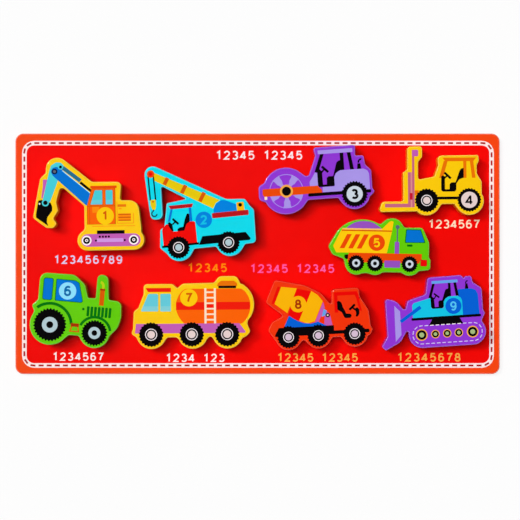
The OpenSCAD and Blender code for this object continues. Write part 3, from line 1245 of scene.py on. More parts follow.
@dataclass
class Excavator(VehicleBlock):
    """Vehicle 1: boom, arm, bucket, cab and track."""

    name: str = "excavator"
    number: int = 1
    paint: Paint = Paint.YELLOW
    place: Triple = (-90.4, 19.6, 1.0)
    dots: tuple[Point, Point] = ((-6.5, -1.0), (10.5, -1.0))
    label: Label = Label(Ink.PEARL, (-126.2, -6.0), (-84.1, -0.6), (9,))

    def draw(self, sheet: PrintSheet) -> None:
        """Prints the excavator.

        Args:
            sheet: The block's print.
        """
        self.draw_arm(sheet)
        self.draw_cab(sheet)
        self.draw_track(sheet)

    def draw_arm(self, sheet: PrintSheet) -> None:
        """Prints the boom, the arm and the bucket.

        Args:
            sheet: The block's print.
        """
        sheet.panel(Ink.MAUVE, [(-40.2, 26.4), (-37.6, 26.4), (-38.6, 22.5), (-40.6, 15),
                                (-41.5, 15), (-40.4, 22)])
        sheet.panel(Ink.BLACK, [(-43.3, 13.6), (-41.2, 14), (-35.8, 12.1), (-34.9, 9.8),
                                (-34.9, 7.3), (-38, 3.2), (-38.3, 0.4), (-37.5, -2),
                                (-44.8, 3.2), (-44.9, 4.9)], 0.3)
        sheet.panel(Ink.AQUA, [(-36.4, 31.4), (-35.2, 34.9), (-32, 36.8), (-29, 36.5),
                               (-27.2, 34.4), (-29.4, 31.5), (-31.2, 25.4), (-36.1, 12.6),
                               (-40.9, 12.6)], 0.5)
        sheet.panel(Ink.BLUE, [(-35.4, 31), (-34.3, 33.4), (-31.8, 34.1), (-29.5, 33), (-11, 17),
                               (-13.8, 9.8), (-34.2, 28.6)], 0.6)
        sheet.bar(Ink.TEAL, (-28.0, 33.5), (-17.4, 25.2), 2.4)
        sheet.bar(Ink.ICE, (-28.4, 31.6), (-10.9, 17.1), 0.45)
        sheet.bar(Ink.BLACK, (-17.5, 24.3), (-10.4, 18.4), 1.5)
        sheet.target((-33.1, 31.2), (Ink.NAVY, 1.75), (Ink.SLATE, 0.9))
        sheet.target((-29.4, 33.9), (Ink.AQUA, 1.6), (Ink.BLACK, 0.9))
        sheet.target((-39, 12.2), (Ink.AQUA, 2.2), (Ink.BLACK, 1.35))
        sheet.disc(Ink.WHITE, (-42.6, 11.6), 0.55)

    def draw_cab(self, sheet: PrintSheet) -> None:
        """Prints the cab, its number and the engine's vents.

        Args:
            sheet: The block's print.
        """
        sheet.panel(Ink.RUST, [(-13.7, 9.8), (-10.7, 20.5), (3.8, 20.5), (3.8, -1.6),
                               (-13.7, -1.6)])
        sheet.panel(Ink.ORANGE, [(-13.2, 9.7), (-10.2, 20.2), (3.3, 20.2), (3.3, -1.4),
                                 (-13.2, -1.4)])
        sheet.box(Ink.EMBER, (-11.4, 20.5), (4.7, 22.0), 0.2)
        sheet.panel(Ink.RUST, [(-9.2, 19.7), (-3.7, 19.7), (-3.7, 10.1), (-12.2, 10.1)], 0.4)
        sheet.panel(Ink.AQUA, [(-8.7, 19.3), (-4.2, 19.3), (-4.2, 10.6), (-11.5, 10.6)], 0.4)
        sheet.box(Ink.RUST, (-2.6, 10.1), (2.6, 19.7), 0.4)
        sheet.box(Ink.AQUA, (-2.1, 10.6), (2.1, 19.3), 0.4)
        sheet.panel(Ink.GLASS, [(-4.2, 10.6), (-11.5, 10.6), (-10.5, 13.4), (-4.2, 13.4)], 0.3)
        sheet.box(Ink.GLASS, (-2.1, 10.6), (2.1, 13.4), 0.3)
        sheet.box(Ink.RUST, (-13.2, 9.4), (3.3, 9.9))
        sheet.box(Ink.RUST, (-12.2, -1.2), (-11.9, 9.0))
        sheet.box(Ink.AMBER, (-10.4, 5.6), (-6.2, 9.2))
        sheet.disc(Ink.YELLOW, (-2.6, 3.6), 5.3)
        sheet.numeral(Ink.RUST, self.number, (-2.7, 3.6), 5.6)
        sheet.box(Ink.COPPER, (5.1, 8.9), (10.3, 10.5), 0.3)
        sheet.box(Ink.AMBER, (5.6, 7.4), (7.5, 8.2), 0.3)
        sheet.box(Ink.AMBER, (5.3, 0.3), (13.1, 4.9), 0.2)
        for y in (0.7, 2.5, 4.3):
            sheet.box(Ink.RUST, (5.4, y - 0.35), (13, y + 0.35))
        sheet.box(Ink.AMBER, (14.5, -1.0), (14.9, 5.0))
        sheet.box(Ink.AMBER, (4.7, -1.3), (14.9, -0.9))
        sheet.box(Ink.AMBER, (4.5, -1.2), (4.9, 12.2))
        sheet.box(Ink.AMBER, (-10.7, -2.9), (15.7, -2.5))

    def draw_track(self, sheet: PrintSheet) -> None:
        """Prints the track and its two wheels.

        Args:
            sheet: The block's print.
        """
        sheet.box(Ink.BLACK, (-7.8, -7.6), (9.1, -5.3))
        sheet.box(Ink.MAUVE, (-17.5, -15.1), (18.8, -7.4), 3.8)
        sheet.box(Ink.LILAC, (-7.9, -12.4), (8.2, -10.2), 0.3)
        for x in (-6.1, -4.2, -2.4, -0.6):
            sheet.disc(Ink.BLACK, (x, -9.1), 0.68)
        for x in (-8.5, 9.1):
            sheet.disc(Ink.BLACK, (x, -11.4), 0.65)
        rings = ((Ink.WHITE, 3.0), (Ink.BLACK, 2.1), (Ink.WHITE, 0.95), (Ink.BLACK, 0.42))
        for x in (-14.2, 14.6):
            sheet.target((x, -11.3), *rings)


@dataclass
class Crane(VehicleBlock):
    """Vehicle 2: striped boom with its hook, cab and carrier."""

    name: str = "crane"
    number: int = 2
    paint: Paint = Paint.CYAN
    place: Triple = (-28.0, 16.0, 5.7)
    dots: tuple[Point, Point] = ((-19.0, -3.0), (13.0, 0.0))
    label: Label = Label(Ink.AMBER, (-43.5, -11.1), (-19.3, -5.6), (5,))

    def draw(self, sheet: PrintSheet) -> None:
        """Prints the crane.

        Args:
            sheet: The block's print.
        """
        self.draw_boom(sheet)
        self.draw_cab(sheet)
        self.draw_carrier(sheet)

    def draw_boom(self, sheet: PrintSheet) -> None:
        """Prints the boom, its pulley, ropes and hook.

        Args:
            sheet: The block's print.
        """
        sheet.panel(Ink.LEMON, [(-32.2, 37), (6.7, 16.2), (4, 14.6), (2.0, 11.5), (-32.2, 32)])
        for middle, half in (((-25.0, 30.9), 2.3), ((-14.7, 25.0), 2.75), ((-4.0, 19.2), 3.05)):
            run = Vector((0.53, 0.85)) * half
            ends = [tuple(Vector(middle) + run * side) for side in (-1, 1)]
            sheet.bar(Ink.RUST, ends[0], ends[1], 2.3)
        for x in (-35.6, -32.4):
            sheet.bar(Ink.BLACK, (x, 35.2), (x, 20.0), 0.85)
        sheet.target((-33.9, 36.2), (Ink.EMBER, 2.3), (Ink.RED, 1.3))
        sheet.panel(Ink.LEMON, [(-35.8, 20.4), (-32.3, 20.4), (-32.4, 16.8), (-33.2, 14.2),
                                (-34.8, 14.2), (-35.8, 16.8)], 0.3)
        sheet.disc(Ink.RUST, (-34.1, 19.2), 0.6)
        sheet.bar(Ink.NAVY, (-34.1, 14.2), (-34.9, 13.1), 0.8)
        sheet.arc(Ink.NAVY, (-34.0, 11.8), 1.6, 0.75, 130, 352)

    def draw_cab(self, sheet: PrintSheet) -> None:
        """Prints the cab, with its seat and steering wheel.

        Args:
            sheet: The block's print.
        """
        sheet.panel(Ink.DARK_RED, [(-24.9, 15.8), (-9.8, 15.8), (-10.8, 13.5), (-24.0, 13.5)], 0.3)
        sheet.panel(Ink.BLUE, [(-23.9, 13.6), (-22.6, 13.6), (-24.8, 6.2), (-26.3, 6.2)])
        sheet.box(Ink.BLUE, (-12.8, 4.6), (-11.3, 13.6))
        sheet.panel(Ink.RED, [(-30.3, -8.4), (-30.3, 1.4), (-29.4, 3), (-27.4, 4.7), (-26.2, 4.6),
                              (-23.7, -0.2), (-17.0, -0.2), (-15.8, 3.2), (-13.6, 5), (-10.5, 5),
                              (-9.7, 4.2), (-9.7, -8.4)], 0.3)
        sheet.panel(Ink.BLACK, [(-26.3, 5.4), (-25.4, 6.0), (-23.8, 4.4), (-23.4, -0.1),
                                (-24.4, 0.2), (-26.2, 3.6)], 0.3)
        sheet.panel(Ink.BLACK, [(-14.2, 10.1), (-12.8, 9.8), (-12.9, 5.1), (-15.2, 3.6),
                                (-16.8, -0.2), (-20.9, -0.2), (-20.9, 1.0), (-19.6, 2.0),
                                (-17.2, 2.2), (-16.0, 6.4)], 0.4)
        sheet.bar(Ink.BLACK, (-23.3, 7.7), (-19.9, 4.1), 1.3, 0.4)
        sheet.bar(Ink.BLACK, (-21.6, 5.8), (-23.7, 4.2), 0.9)
        sheet.box(Ink.BLACK, (-31.3, -9.5), (-8.6, -8.2), 0.3)
        sheet.disc(Ink.AZURE, (-4.3, 5.2), 5.0)
        sheet.numeral(Ink.CYAN, self.number, (-4.3, 5.2), 5.6)

    def draw_carrier(self, sheet: PrintSheet) -> None:
        """Prints the turntable, the chassis and the wheels.

        Args:
            sheet: The block's print.
        """
        sheet.panel(Ink.AZURE, [(2.0, 8.4), (2.3, 11), (3.9, 14.1), (6.2, 15.6), (8.0, 16.1),
                                (10, 15.7), (16.3, 12.7), (16.3, 8.4)], 0.6)
        sheet.box(Ink.GOLD, (16.5, 8.4), (21.0, 13.8), 0.7)
        sheet.disc(Ink.BLACK, (18.7, 12.1), 1.15)
        sheet.box(Ink.DARK_RED, (0.9, 5.5), (23.4, 8.7), 0.7)
        sheet.panel(Ink.BLACK, [(-6.2, -4.7), (20.4, -4.7), (23.1, -8.8), (22.5, -9.8),
                                (-8.8, -9.8)], 0.3)
        for x in (-21.3, 9.4):
            sheet.wheel((x, -10.1), 6.9, Ink.STEEL, 3.38, 2.05)


@dataclass
class StreetRoller(VehicleBlock):
    """Vehicle 3: open drum, cab and one big wheel."""

    name: str = "street_roller"
    number: int = 3
    paint: Paint = Paint.PURPLE
    place: Triple = (39.2, 40.4, 4.0)
    dots: tuple[Point, Point] = ((-21.8, -0.5), (19.5, 0.0))
    label: Label = Label(Ink.BAND, (-26.0, 58.5), (27.3, 64.2), (5, 5))
    hub: Point = (-21.6, -0.7)

    def draw(self, sheet: PrintSheet) -> None:
        """Prints the street roller.

        Args:
            sheet: The block's print.
        """
        self.draw_drum(sheet)
        self.draw_cab(sheet)
        self.draw_engine(sheet)

    def draw_drum(self, sheet: PrintSheet) -> None:
        """Prints the drum's spokes, its hub and the frame that carries it.

        Args:
            sheet: The block's print.
        """
        sheet.arc(Ink.LAVENDER, self.hub, 10.2, 0.45, 0, 360)
        blade = [(4.0, -1.0), (5.2, -1.2), (6.4, -1.9), (8.6, -2.0), (10.3, -2.6),
                 (10.3, 2.6), (8.6, 2.0), (6.4, 1.9), (5.2, 1.2), (4.0, 1.0)]
        for angle in (-90, -22, 54, 126, 202):
            turn = Matrix.Rotation(math.radians(angle), 2)
            points = [tuple(Vector(self.hub) + turn @ Vector(p)) for p in blade]
            sheet.panel(Ink.LAVENDER, points)
        sheet.panel(Ink.EMBER, [(-36.3, 0.9), (-35.6, 1.5), (-2.5, 1.5), (0.2, -1.4), (0.2, -3.3),
                                (-35.4, -3.3), (-36.3, -2.0)], 0.3)
        sheet.box(Ink.CREAM, (-35.3, -5.1), (-33.6, -3.2), 0.3)
        sheet.target(self.hub, (Ink.HONEY, 4.0), (Ink.BLACK, 2.75))

    def draw_cab(self, sheet: PrintSheet) -> None:
        """Prints the roof, the posts, the seat and the steering wheel.

        Args:
            sheet: The block's print.
        """
        sheet.box(Ink.LAVENDER, (-0.9, 20.5), (20.3, 22.8), 0.2)
        sheet.panel(Ink.BLACK, [(0.4, 20.4), (2.6, 20.4), (-0.6, 11.4), (0.9, 9.7), (1.0, 1.7),
                                (3.4, 1.7), (3.5, 5.6), (4.6, 6.6), (7.5, 6.6), (10.0, 14.6),
                                (11.0, 15.6), (12.4, 16.0), (12.4, 20.4), (14.6, 20.4),
                                (14.6, 10.0), (11.2, 9.6), (9.0, 8.0), (8.1, 6.2), (8.1, 0.9),
                                (7.5, 0.4), (-1.4, 0.4), (-2.1, 1.4), (-2.1, 9.4), (-3.7, 9.7)],
                    0.15)
        sheet.panel(Ink.BLACK, [(16.8, 20.4), (19.0, 20.4), (20.5, 9.8), (18.2, 9.8)])
        sheet.bar(Ink.BLACK, (0.9, 12.9), (4.7, 9.2), 1.5, 0.4)
        sheet.bar(Ink.BLACK, (2.4, 11.2), (0.3, 8.9), 1.0)

    def draw_engine(self, sheet: PrintSheet) -> None:
        """Prints the engine cover, the exhaust, the chassis and the wheel.

        Args:
            sheet: The block's print.
        """
        sheet.panel(Ink.LAVENDER, [(8.1, -2.9), (8.1, 5.5), (9.4, 8.3), (12.0, 9.8), (26.4, 9.8),
                                   (28.6, 8.6), (29.5, 6.5), (29.5, -2.9)], 0.3)
        sheet.box(Ink.LAVENDER, (0.6, -2.9), (8.4, 0.3))
        sheet.panel(Ink.LAVENDER, [(-3.4, 9.5), (-2.1, 8.9), (-2.1, 1.4), (-7.1, 1.4),
                                   (-7.1, 4.0), (-5.6, 6.0)], 0.3)
        sheet.panel(Ink.BLACK, [(22.4, 9.8), (24.9, 9.8), (24.6, 13.2), (22.8, 13.2)])
        sheet.arc(Ink.BLACK, (25.2, 14.0), 1.7, 1.0, 80, 195)
        sheet.box(Ink.BLACK, (-8.5, -5.0), (30.1, -3.0), 0.7)
        sheet.tyre((19.9, -5.3), 8.0, 26, 0.6)
        sheet.disc(Ink.GREY, (19.9, -5.3), 4.95)
        sheet.numeral(Ink.BLACK, self.number, (19.9, -5.3), 5.9, 0.24)


@dataclass
class Forklift(VehicleBlock):
    """Vehicle 4: mast with its fork, open cab and two wheels."""

    name: str = "forklift"
    number: int = 4
    paint: Paint = Paint.YELLOW
    place: Triple = (116.2, 38.0, 0.5)
    dots: tuple[Point, Point] = ((-11.0, -1.0), (12.0, -1.0))
    label: Label = Label(Ink.CREAM, (105.7, 15.9), (136.9, 21.5), (7,))

    def draw(self, sheet: PrintSheet) -> None:
        """Prints the forklift.

        Args:
            sheet: The block's print.
        """
        self.draw_mast(sheet)
        self.draw_cab(sheet)
        sheet.box(Ink.BLACK, (-6.6, -4.8), (6.9, -3.1))
        sheet.wheel((-12.8, -5.3), 7.3, Ink.ROSE, 3.42, 2.2)
        sheet.tyre((13.2, -5.2), 7.3, 24)
        sheet.disc(Ink.ROSE, (13.2, -5.2), 5.0)
        sheet.numeral(Ink.BLACK, self.number, (13.2, -5.2), 6.6, 0.16)

    def draw_mast(self, sheet: PrintSheet) -> None:
        """Prints the mast and the fork.

        Args:
            sheet: The block's print.
        """
        sheet.box(Ink.BLUSH, (-22.8, -9.4), (-21.2, 12.0))
        sheet.box(Ink.ORCHID, (-21.6, -9.4), (-20.2, 25.7))
        sheet.box(Ink.MAUVE, (-21.6, 21.7), (-17.8, 25.7), 0.8)
        sheet.box(Ink.ORCHID, (-24.2, -9.4), (-22.6, 12.0))
        sheet.box(Ink.ORCHID, (-38.3, -9.4), (-22.6, -7.2), 0.3)
        sheet.box(Ink.CRIMSON, (-23.2, -4.8), (-21.4, -0.7), 0.2)
        sheet.box(Ink.COPPER, (-20.1, -2.0), (-17.6, 0.9), 0.2)

    def draw_cab(self, sheet: PrintSheet) -> None:
        """Prints the roof, the posts, the seat and the steering wheel.

        Args:
            sheet: The block's print.
        """
        sheet.panel(Ink.COPPER, [(-3.0, 20.7), (17.6, 20.7), (15.9, 18.5), (-1.3, 18.5)], 0.2)
        sheet.panel(Ink.COPPER, [(-2.2, 18.8), (0.2, 18.8), (-2.8, 8.3), (-5.1, 8.3)])
        sheet.box(Ink.COPPER, (9.7, 8.3), (11.6, 18.8))
        sheet.panel(Ink.COPPER, [(13.7, 18.8), (15.8, 18.8), (17.1, 8.3), (15.0, 8.3)])
        sheet.panel(Ink.BLACK, [(-3.9, 9.2), (-2.8, 9.9), (-1.6, 9.2), (-1.6, 1.4), (1.2, 1.4),
                                (1.3, 4.6), (2.4, 5.6), (4.9, 5.6), (7.4, 12.6), (8.4, 14.0),
                                (9.9, 14.4), (9.9, 8.4), (7.2, 7.4), (5.4, 5.0), (5.3, 1.0),
                                (4.4, 0.0), (-2.8, 0.0), (-3.9, 0.9)], 0.25)
        sheet.bar(Ink.BLACK, (-1.9, 11.6), (2.0, 8.0), 1.4, 0.4)
        sheet.bar(Ink.BLACK, (-0.1, 9.7), (-2.2, 8.0), 1.0)


@dataclass
class TipperTruck(VehicleBlock):
    """Vehicle 5: striped tipper body with its load, cab and three wheels."""

    name: str = "tipper_truck"
    number: int = 5
    paint: Paint = Paint.GREEN
    place: Triple = (74.7, 3.7, -1.2)
    dots: tuple[Point, Point] = ((-14.0, 0.0), (16.0, -2.0))
    label: Label = Label(Ink.PINK, (-4.7, -11.6), (47.1, -6.1), (5, 5))

    def draw(self, sheet: PrintSheet) -> None:
        """Prints the tipper truck.

        Args:
            sheet: The block's print.
        """
        self.draw_tipper(sheet)
        self.draw_cab(sheet)
        for x in (-14.2, -2.7, 18.4):
            sheet.tyre((x, -9.7), 5.05, 20, 0.5)
            sheet.target((x, -9.7), (Ink.GREY, 2.45), (Ink.BLACK, 1.15))

    def draw_tipper(self, sheet: PrintSheet) -> None:
        """Prints the load and the tipper body with its stripes and number.

        Args:
            sheet: The block's print.
        """
        sheet.panel(Ink.VIOLET, [(-20.9, 11.4), (-18.6, 13.4), (-15.6, 15.1), (-12.6, 15.9),
                                 (-9.8, 16.1), (-7.0, 15.9), (-4.1, 15.1), (-1.3, 13.5),
                                 (1.2, 11.4)])
        sheet.panel(Ink.YELLOW, [(-23.0, 11.6), (1.3, 11.6), (5.6, 15.9), (7.0, 16.5), (8.2, 16.0),
                                 (7.2, 9.4), (4.4, -3.4), (-26.6, -3.4), (-28.5, 0.6),
                                 (-24.3, 9.2)], 0.3)
        sheet.box(Ink.BUTTER, (-22.8, 10.7), (1.2, 11.5))
        sheet.box(Ink.RUST, (-23.4, 9.85), (7.2, 10.6))
        for x in (0.0, 5.2, 10.4):
            sheet.panel(Ink.EMBER, [(x - 20.1, 7.9), (x - 17.2, 7.9), (x - 21.6, -0.8),
                                    (x - 24.5, -0.8)], 0.1)
        sheet.disc(Ink.EMBER, (-1.9, 3.0), 5.0)
        sheet.numeral(Ink.YELLOW, self.number, (-1.9, 3.0), 5.6)

    def draw_cab(self, sheet: PrintSheet) -> None:
        """Prints the lifting ram, the cab and the chassis.

        Args:
            sheet: The block's print.
        """
        sheet.disc(Ink.SLATE, (10.7, 12.8), 1.3)
        sheet.box(Ink.SLATE, (10.2, 3.6), (11.0, 12.0))
        sheet.box(Ink.VIOLET, (9.2, -3.6), (11.9, 3.8), 0.5)
        sheet.panel(Ink.DARK_GREEN, [(15.8, 11.6), (25.0, 11.6), (27.9, 3.4), (15.3, 3.2)], 0.7)
        sheet.panel(Ink.BLUE, [(16.4, 11.1), (24.6, 11.1), (27.2, 3.9), (15.9, 3.7)], 0.5)
        sheet.box(Ink.DARK_GREEN, (16.7, 1.0), (20.0, 2.3), 0.4)
        sheet.panel(Ink.EMBER, [(-18.7, -3.4), (25.8, -3.4), (25.8, -7.0), (24.9, -7.4),
                                (24.3, -9.2), (-19.4, -9.2), (-19.4, -5.6)])
        sheet.box(Ink.VIOLET, (3.0, -12.1), (12.7, -7.8), 0.6)
        sheet.box(Ink.DARK_RED, (25.0, -10.9), (29.1, -6.8), 0.5)
        sheet.box(Ink.RED, (25.4, -10.5), (28.7, -7.2), 0.4)
        sheet.panel(Ink.BLACK, [(-21.5, -4.7), (-19.1, -4.4), (-19.3, -7.3), (-20.4, -7.5),
                                (-21.5, -6.3)], 0.4)


@dataclass
class Tractor(VehicleBlock):
    """Vehicle 6: glazed cab, bonnet, exhaust and two unequal wheels."""

    name: str = "tractor"
    number: int = 6
    paint: Paint = Paint.GREEN
    place: Triple = (-112.4, -34.2, -5.0)
    dots: tuple[Point, Point] = ((-13.0, -4.0), (14.0, -4.0))
    label: Label = Label(Ink.BAND, (-127.1, -66.0), (-95.7, -60.7), (7,))
    rear: Point = (-13.7, -10.4)
    front: Point = (13.9, -13.1)

    def draw(self, sheet: PrintSheet) -> None:
        """Prints the tractor.

        Args:
            sheet: The block's print.
        """
        self.draw_cab(sheet)
        self.draw_bonnet(sheet)
        for middle, radius, lugs, hub, cap in (
            (self.rear, 10.15, 30, 4.8, 2.1), (self.front, 8.0, 26, 3.7, 1.7)
        ):
            sheet.tyre(middle, radius, lugs, 0.75)
            sheet.target(middle, (Ink.STEEL, hub), (Ink.BLACK, cap))

    def draw_cab(self, sheet: PrintSheet) -> None:
        """Prints the windows and the number.

        Args:
            sheet: The block's print.
        """
        sheet.box(Ink.DARK_GREEN, (-19.8, 4.5), (-13.6, 18.2), 1.4)
        sheet.box(Ink.BLUE, (-19.3, 5.0), (-14.1, 17.7), 1.1)
        sheet.panel(Ink.DARK_GREEN, [(-12.1, 18.0), (-0.4, 18.0), (2.3, 16.6), (5.3, 5.6),
                                     (4.6, 4.5), (-12.0, 4.5)], 1.0)
        sheet.panel(Ink.BLUE, [(-11.6, 17.5), (-0.6, 17.5), (1.8, 16.4), (4.8, 5.8), (4.3, 5.0),
                               (-11.4, 5.0)], 0.9)
        sheet.disc(Ink.ICE, (-4.6, 11.1), 5.3)
        sheet.numeral(Ink.MARINE, self.number, (-4.6, 11.1), 6.3)

    def draw_bonnet(self, sheet: PrintSheet) -> None:
        """Prints the mudguards, the bonnet's slots, the exhaust and the step.

        Args:
            sheet: The block's print.
        """
        sheet.arc(Ink.DARK_GREEN, self.rear, 13.1, 1.75, 131, 6)
        sheet.arc(Ink.DARK_GREEN, self.front, 9.7, 1.6, 156, 12)
        for i in range(7):
            x = 8.9 + i * 2.23
            sheet.box(Ink.DARK_GREEN, (x - 0.82, -3.3), (x + 0.82, 2.9), 0.6)
        sheet.disc(Ink.DARK_GREEN, (5.9, 0.9), 0.8)
        sheet.box(Ink.RUST, (15.2, 3.9), (18.1, 13.6))
        sheet.box(Ink.BRICK, (15.0, 13.2), (18.3, 14.4), 0.2)
        sheet.arc(Ink.LIME, (14.6, 16.0), 2.3, 1.5, 0, 75)
        sheet.box(Ink.LIME, (16.15, 14.2), (17.65, 16.1))
        sheet.box(Ink.BRICK, (-0.9, -10.4), (4.1, -8.2), 0.2)
        for start, end in (((-0.2, -10.4), (-1.3, -13.4)), ((3.5, -10.4), (4.2, -13.4)),
                           ((-1.6, -13.2), (4.5, -13.2))):
            sheet.bar(Ink.RUST, start, end, 0.75)


@dataclass
class TankCar(VehicleBlock):
    """Vehicle 7: cab, tank with its ladder and hatch, and three wheels."""

    name: str = "tank_car"
    number: int = 7
    paint: Paint = Paint.YELLOW
    place: Triple = (-39.7, -34.2, 0.4)
    dots: tuple[Point, Point] = ((-20.0, -3.0), (18.0, -2.0))
    label: Label = Label(Ink.BAND, (-57.0, -66.8), (-20.8, -61.5), (4, 3))

    def draw(self, sheet: PrintSheet) -> None:
        """Prints the tank car.

        Args:
            sheet: The block's print.
        """
        self.draw_cab(sheet)
        self.draw_tank(sheet)
        sheet.panel(Ink.MAUVE, [(-34.6, -8.5), (28.5, -8.5), (32.4, -13.6), (31.8, -14.3),
                                (-35.3, -14.3)], 0.2)
        for x in (-25.4, -0.6, 21.1):
            sheet.wheel((x, -15.1), 7.55, Ink.ROSE, 3.65, 2.35)

    def draw_cab(self, sheet: PrintSheet) -> None:
        """Prints the visor and the windows.

        Args:
            sheet: The block's print.
        """
        sheet.panel(Ink.SCARLET, [(-28.6, 13.4), (-13.1, 13.4), (-13.1, 10.9), (-27.1, 10.9)], 0.2)
        for points in (
            [(-27.0, 9.8), (-21.0, 9.8), (-21.0, -0.9), (-31.6, -0.9)],
            [(-19.7, 9.8), (-13.2, 9.8), (-13.2, -1.0), (-19.7, -1.0)],
        ):
            sheet.panel(Ink.GLASS, points, 0.8)
        sheet.panel(Ink.FROST, [(-21.0, 2.2), (-21.0, -0.9), (-31.6, -0.9), (-30.3, 2.2)], 0.5)
        sheet.box(Ink.FROST, (-19.7, -1.0), (-13.2, 2.2), 0.5)

    def draw_tank(self, sheet: PrintSheet) -> None:
        """Prints the tank, its number, the ladder and the hatch.

        Args:
            sheet: The block's print.
        """
        tank = [(-10.2, 2.2), (-9.9, 5.2), (-8.5, 8.6), (-6.6, 11.2), (-4.4, 12.8), (29.6, 12.8),
                (32.2, 11.0), (34.2, 8.0), (35.2, 5.0), (35.4, 2.0), (35.0, -1.2), (33.6, -4.8),
                (31.8, -7.2), (29.8, -8.8), (-4.6, -8.8), (-6.8, -6.8), (-8.6, -4.0),
                (-9.9, -0.9)]
        sheet.panel(Ink.ORANGE, tank, 0.8)
        sheet.box(Ink.SCARLET, (-10.1, -0.1), (35.2, 4.6), 0.2)
        sheet.disc(Ink.YELLOW, (-2.2, 7.3), 5.3)
        sheet.numeral(Ink.RUST, self.number, (-2.3, 7.3), 6.0)
        for x in (7.9, 13.7):
            sheet.box(Ink.CREAM, (x - 0.65, -8.8), (x + 0.65, 13.0))
        for i in range(6):
            y = 10.6 - 3.36 * i
            sheet.box(Ink.CREAM, (7.9, y - 0.5), (13.7, y + 0.5))
        sheet.panel(Ink.COPPER, [(15.0, 14.2), (15.5, 16.0), (17.6, 17.6), (25.4, 17.6),
                                 (27.3, 16.0), (27.5, 14.2)], 0.4)
        sheet.box(Ink.BLACK, (15.9, 13.0), (26.7, 14.5))


@dataclass
class TruckMixer(VehicleBlock):
    """Vehicle 8: banded drum on its cradle, open cab and three wheels."""

    name: str = "truck_mixer"
    number: int = 8
    paint: Paint = Paint.VERMILION
    place: Triple = (39.2, -39.1, 3.0)
    dots: tuple[Point, Point] = ((-12.5, 4.0), (17.0, -1.0))
    label: Label = Label(Ink.HONEY, (12.1, -66.6), (61.6, -61.2), (5, 5))

    def draw(self, sheet: PrintSheet) -> None:
        """Prints the truck mixer.

        Args:
            sheet: The block's print.
        """
        self.draw_drum(sheet)
        self.draw_cradle(sheet)
        self.draw_cab(sheet)
        for x in (-20.8, -2.5, 19.7):
            sheet.wheel((x, -10.8), 6.9, Ink.MIST, 3.27, 2.05)

    def draw_drum(self, sheet: PrintSheet) -> None:
        """Prints the drum's bands and the number.

        Args:
            sheet: The block's print.
        """
        sheet.panel(Ink.RED, [(-26.0, 20.3), (-23.6, 20.0), (-28.2, 9.9), (-30.2, 10.0)])
        sheet.panel(Ink.RED, [(-14.3, 18.6), (-5.7, 16.4), (-13.6, -1.4), (-20.6, 2.0)])
        sheet.panel(Ink.GOLD, [(-23.7, 20.1), (-14.2, 18.7), (-20.8, 3.9), (-28.3, 9.9)])
        sheet.panel(Ink.GOLD, [(-5.5, 16.6), (-1.7, 14.0), (1.2, 10.0), (-4.3, -2.0), (-8.8, -3.1),
                               (-13.8, -1.1)])
        sheet.disc(Ink.GOLD, (-13.9, 9.0), 5.0)
        sheet.numeral(Ink.BRICK, self.number, (-13.9, 9.0), 5.8, 0.2)

    def draw_cradle(self, sheet: PrintSheet) -> None:
        """Prints the drum's support, the cradle and the chassis.

        Args:
            sheet: The block's print.
        """
        sheet.panel(Ink.MAUVE, [(1.4, 9.6), (2.2, 6.0), (1.0, 3.4), (-2.0, -2.4), (-4.1, -2.3)])
        sheet.panel(Ink.MAUVE, [(2.2, 4.4), (5.0, 2.4), (6.4, -4.9), (1.4, -4.9)])
        sheet.panel(Ink.PERIWINKLE, [(1.6, 5.3), (3.4, 4.2), (2.2, 1.2), (0.0, 0.6)], 0.2)
        sheet.target((3.8, 1.4), (Ink.BLACK, 1.35), (Ink.CREAM, 0.5))
        sheet.panel(Ink.COBALT, [(-19.9, 2.3), (-17.6, 0.6), (-15.0, -1.0), (-11.2, -2.6),
                                 (-6.7, -3.2), (-2.2, -2.2), (3.3, -5.2), (-23.4, -5.2)], 0.2)
        sheet.panel(Ink.BLACK, [(-26.5, -5.0), (7.2, -5.0), (7.2, -8.2), (28.4, -8.2),
                                (28.9, -9.2), (28.6, -10.3), (-28.8, -10.3), (-29.0, -9.4)], 0.2)

    def draw_cab(self, sheet: PrintSheet) -> None:
        """Prints the cab's frame, the seat and the steering wheel.

        Args:
            sheet: The block's print.
        """
        sheet.panel(Ink.RED, [(8.2, 15.1), (22.4, 15.1), (24.0, 10.0), (22.2, 9.6), (20.8, 12.9),
                              (10.3, 12.9), (10.3, 2.6), (8.2, 2.6)])
        sheet.panel(Ink.RED, [(21.4, 12.4), (23.0, 12.0), (24.8, 3.0), (23.4, 3.0)])
        sheet.panel(Ink.BLACK, [(9.8, 9.3), (10.9, 9.9), (12.5, 8.7), (13.4, 5.6), (14.6, 3.2),
                                (15.1, 1.7), (17.7, 1.5), (18.5, 0.3), (17.6, -1.0), (14.5, -1.0),
                                (13.8, -0.3), (12.6, 2.6), (9.9, 4.4)], 0.4)
        sheet.bar(Ink.BLACK, (17.2, 3.9), (20.7, 7.1), 1.4, 0.4)
        sheet.bar(Ink.BLACK, (19.0, 5.4), (20.8, 3.8), 1.0)
        sheet.panel(Ink.BLACK, [(20.4, 4.4), (22.0, 5.3), (23.2, 4.0), (23.2, 1.4), (22.2, -0.3),
                                (20.9, -0.4), (21.3, 2.0)], 0.4)


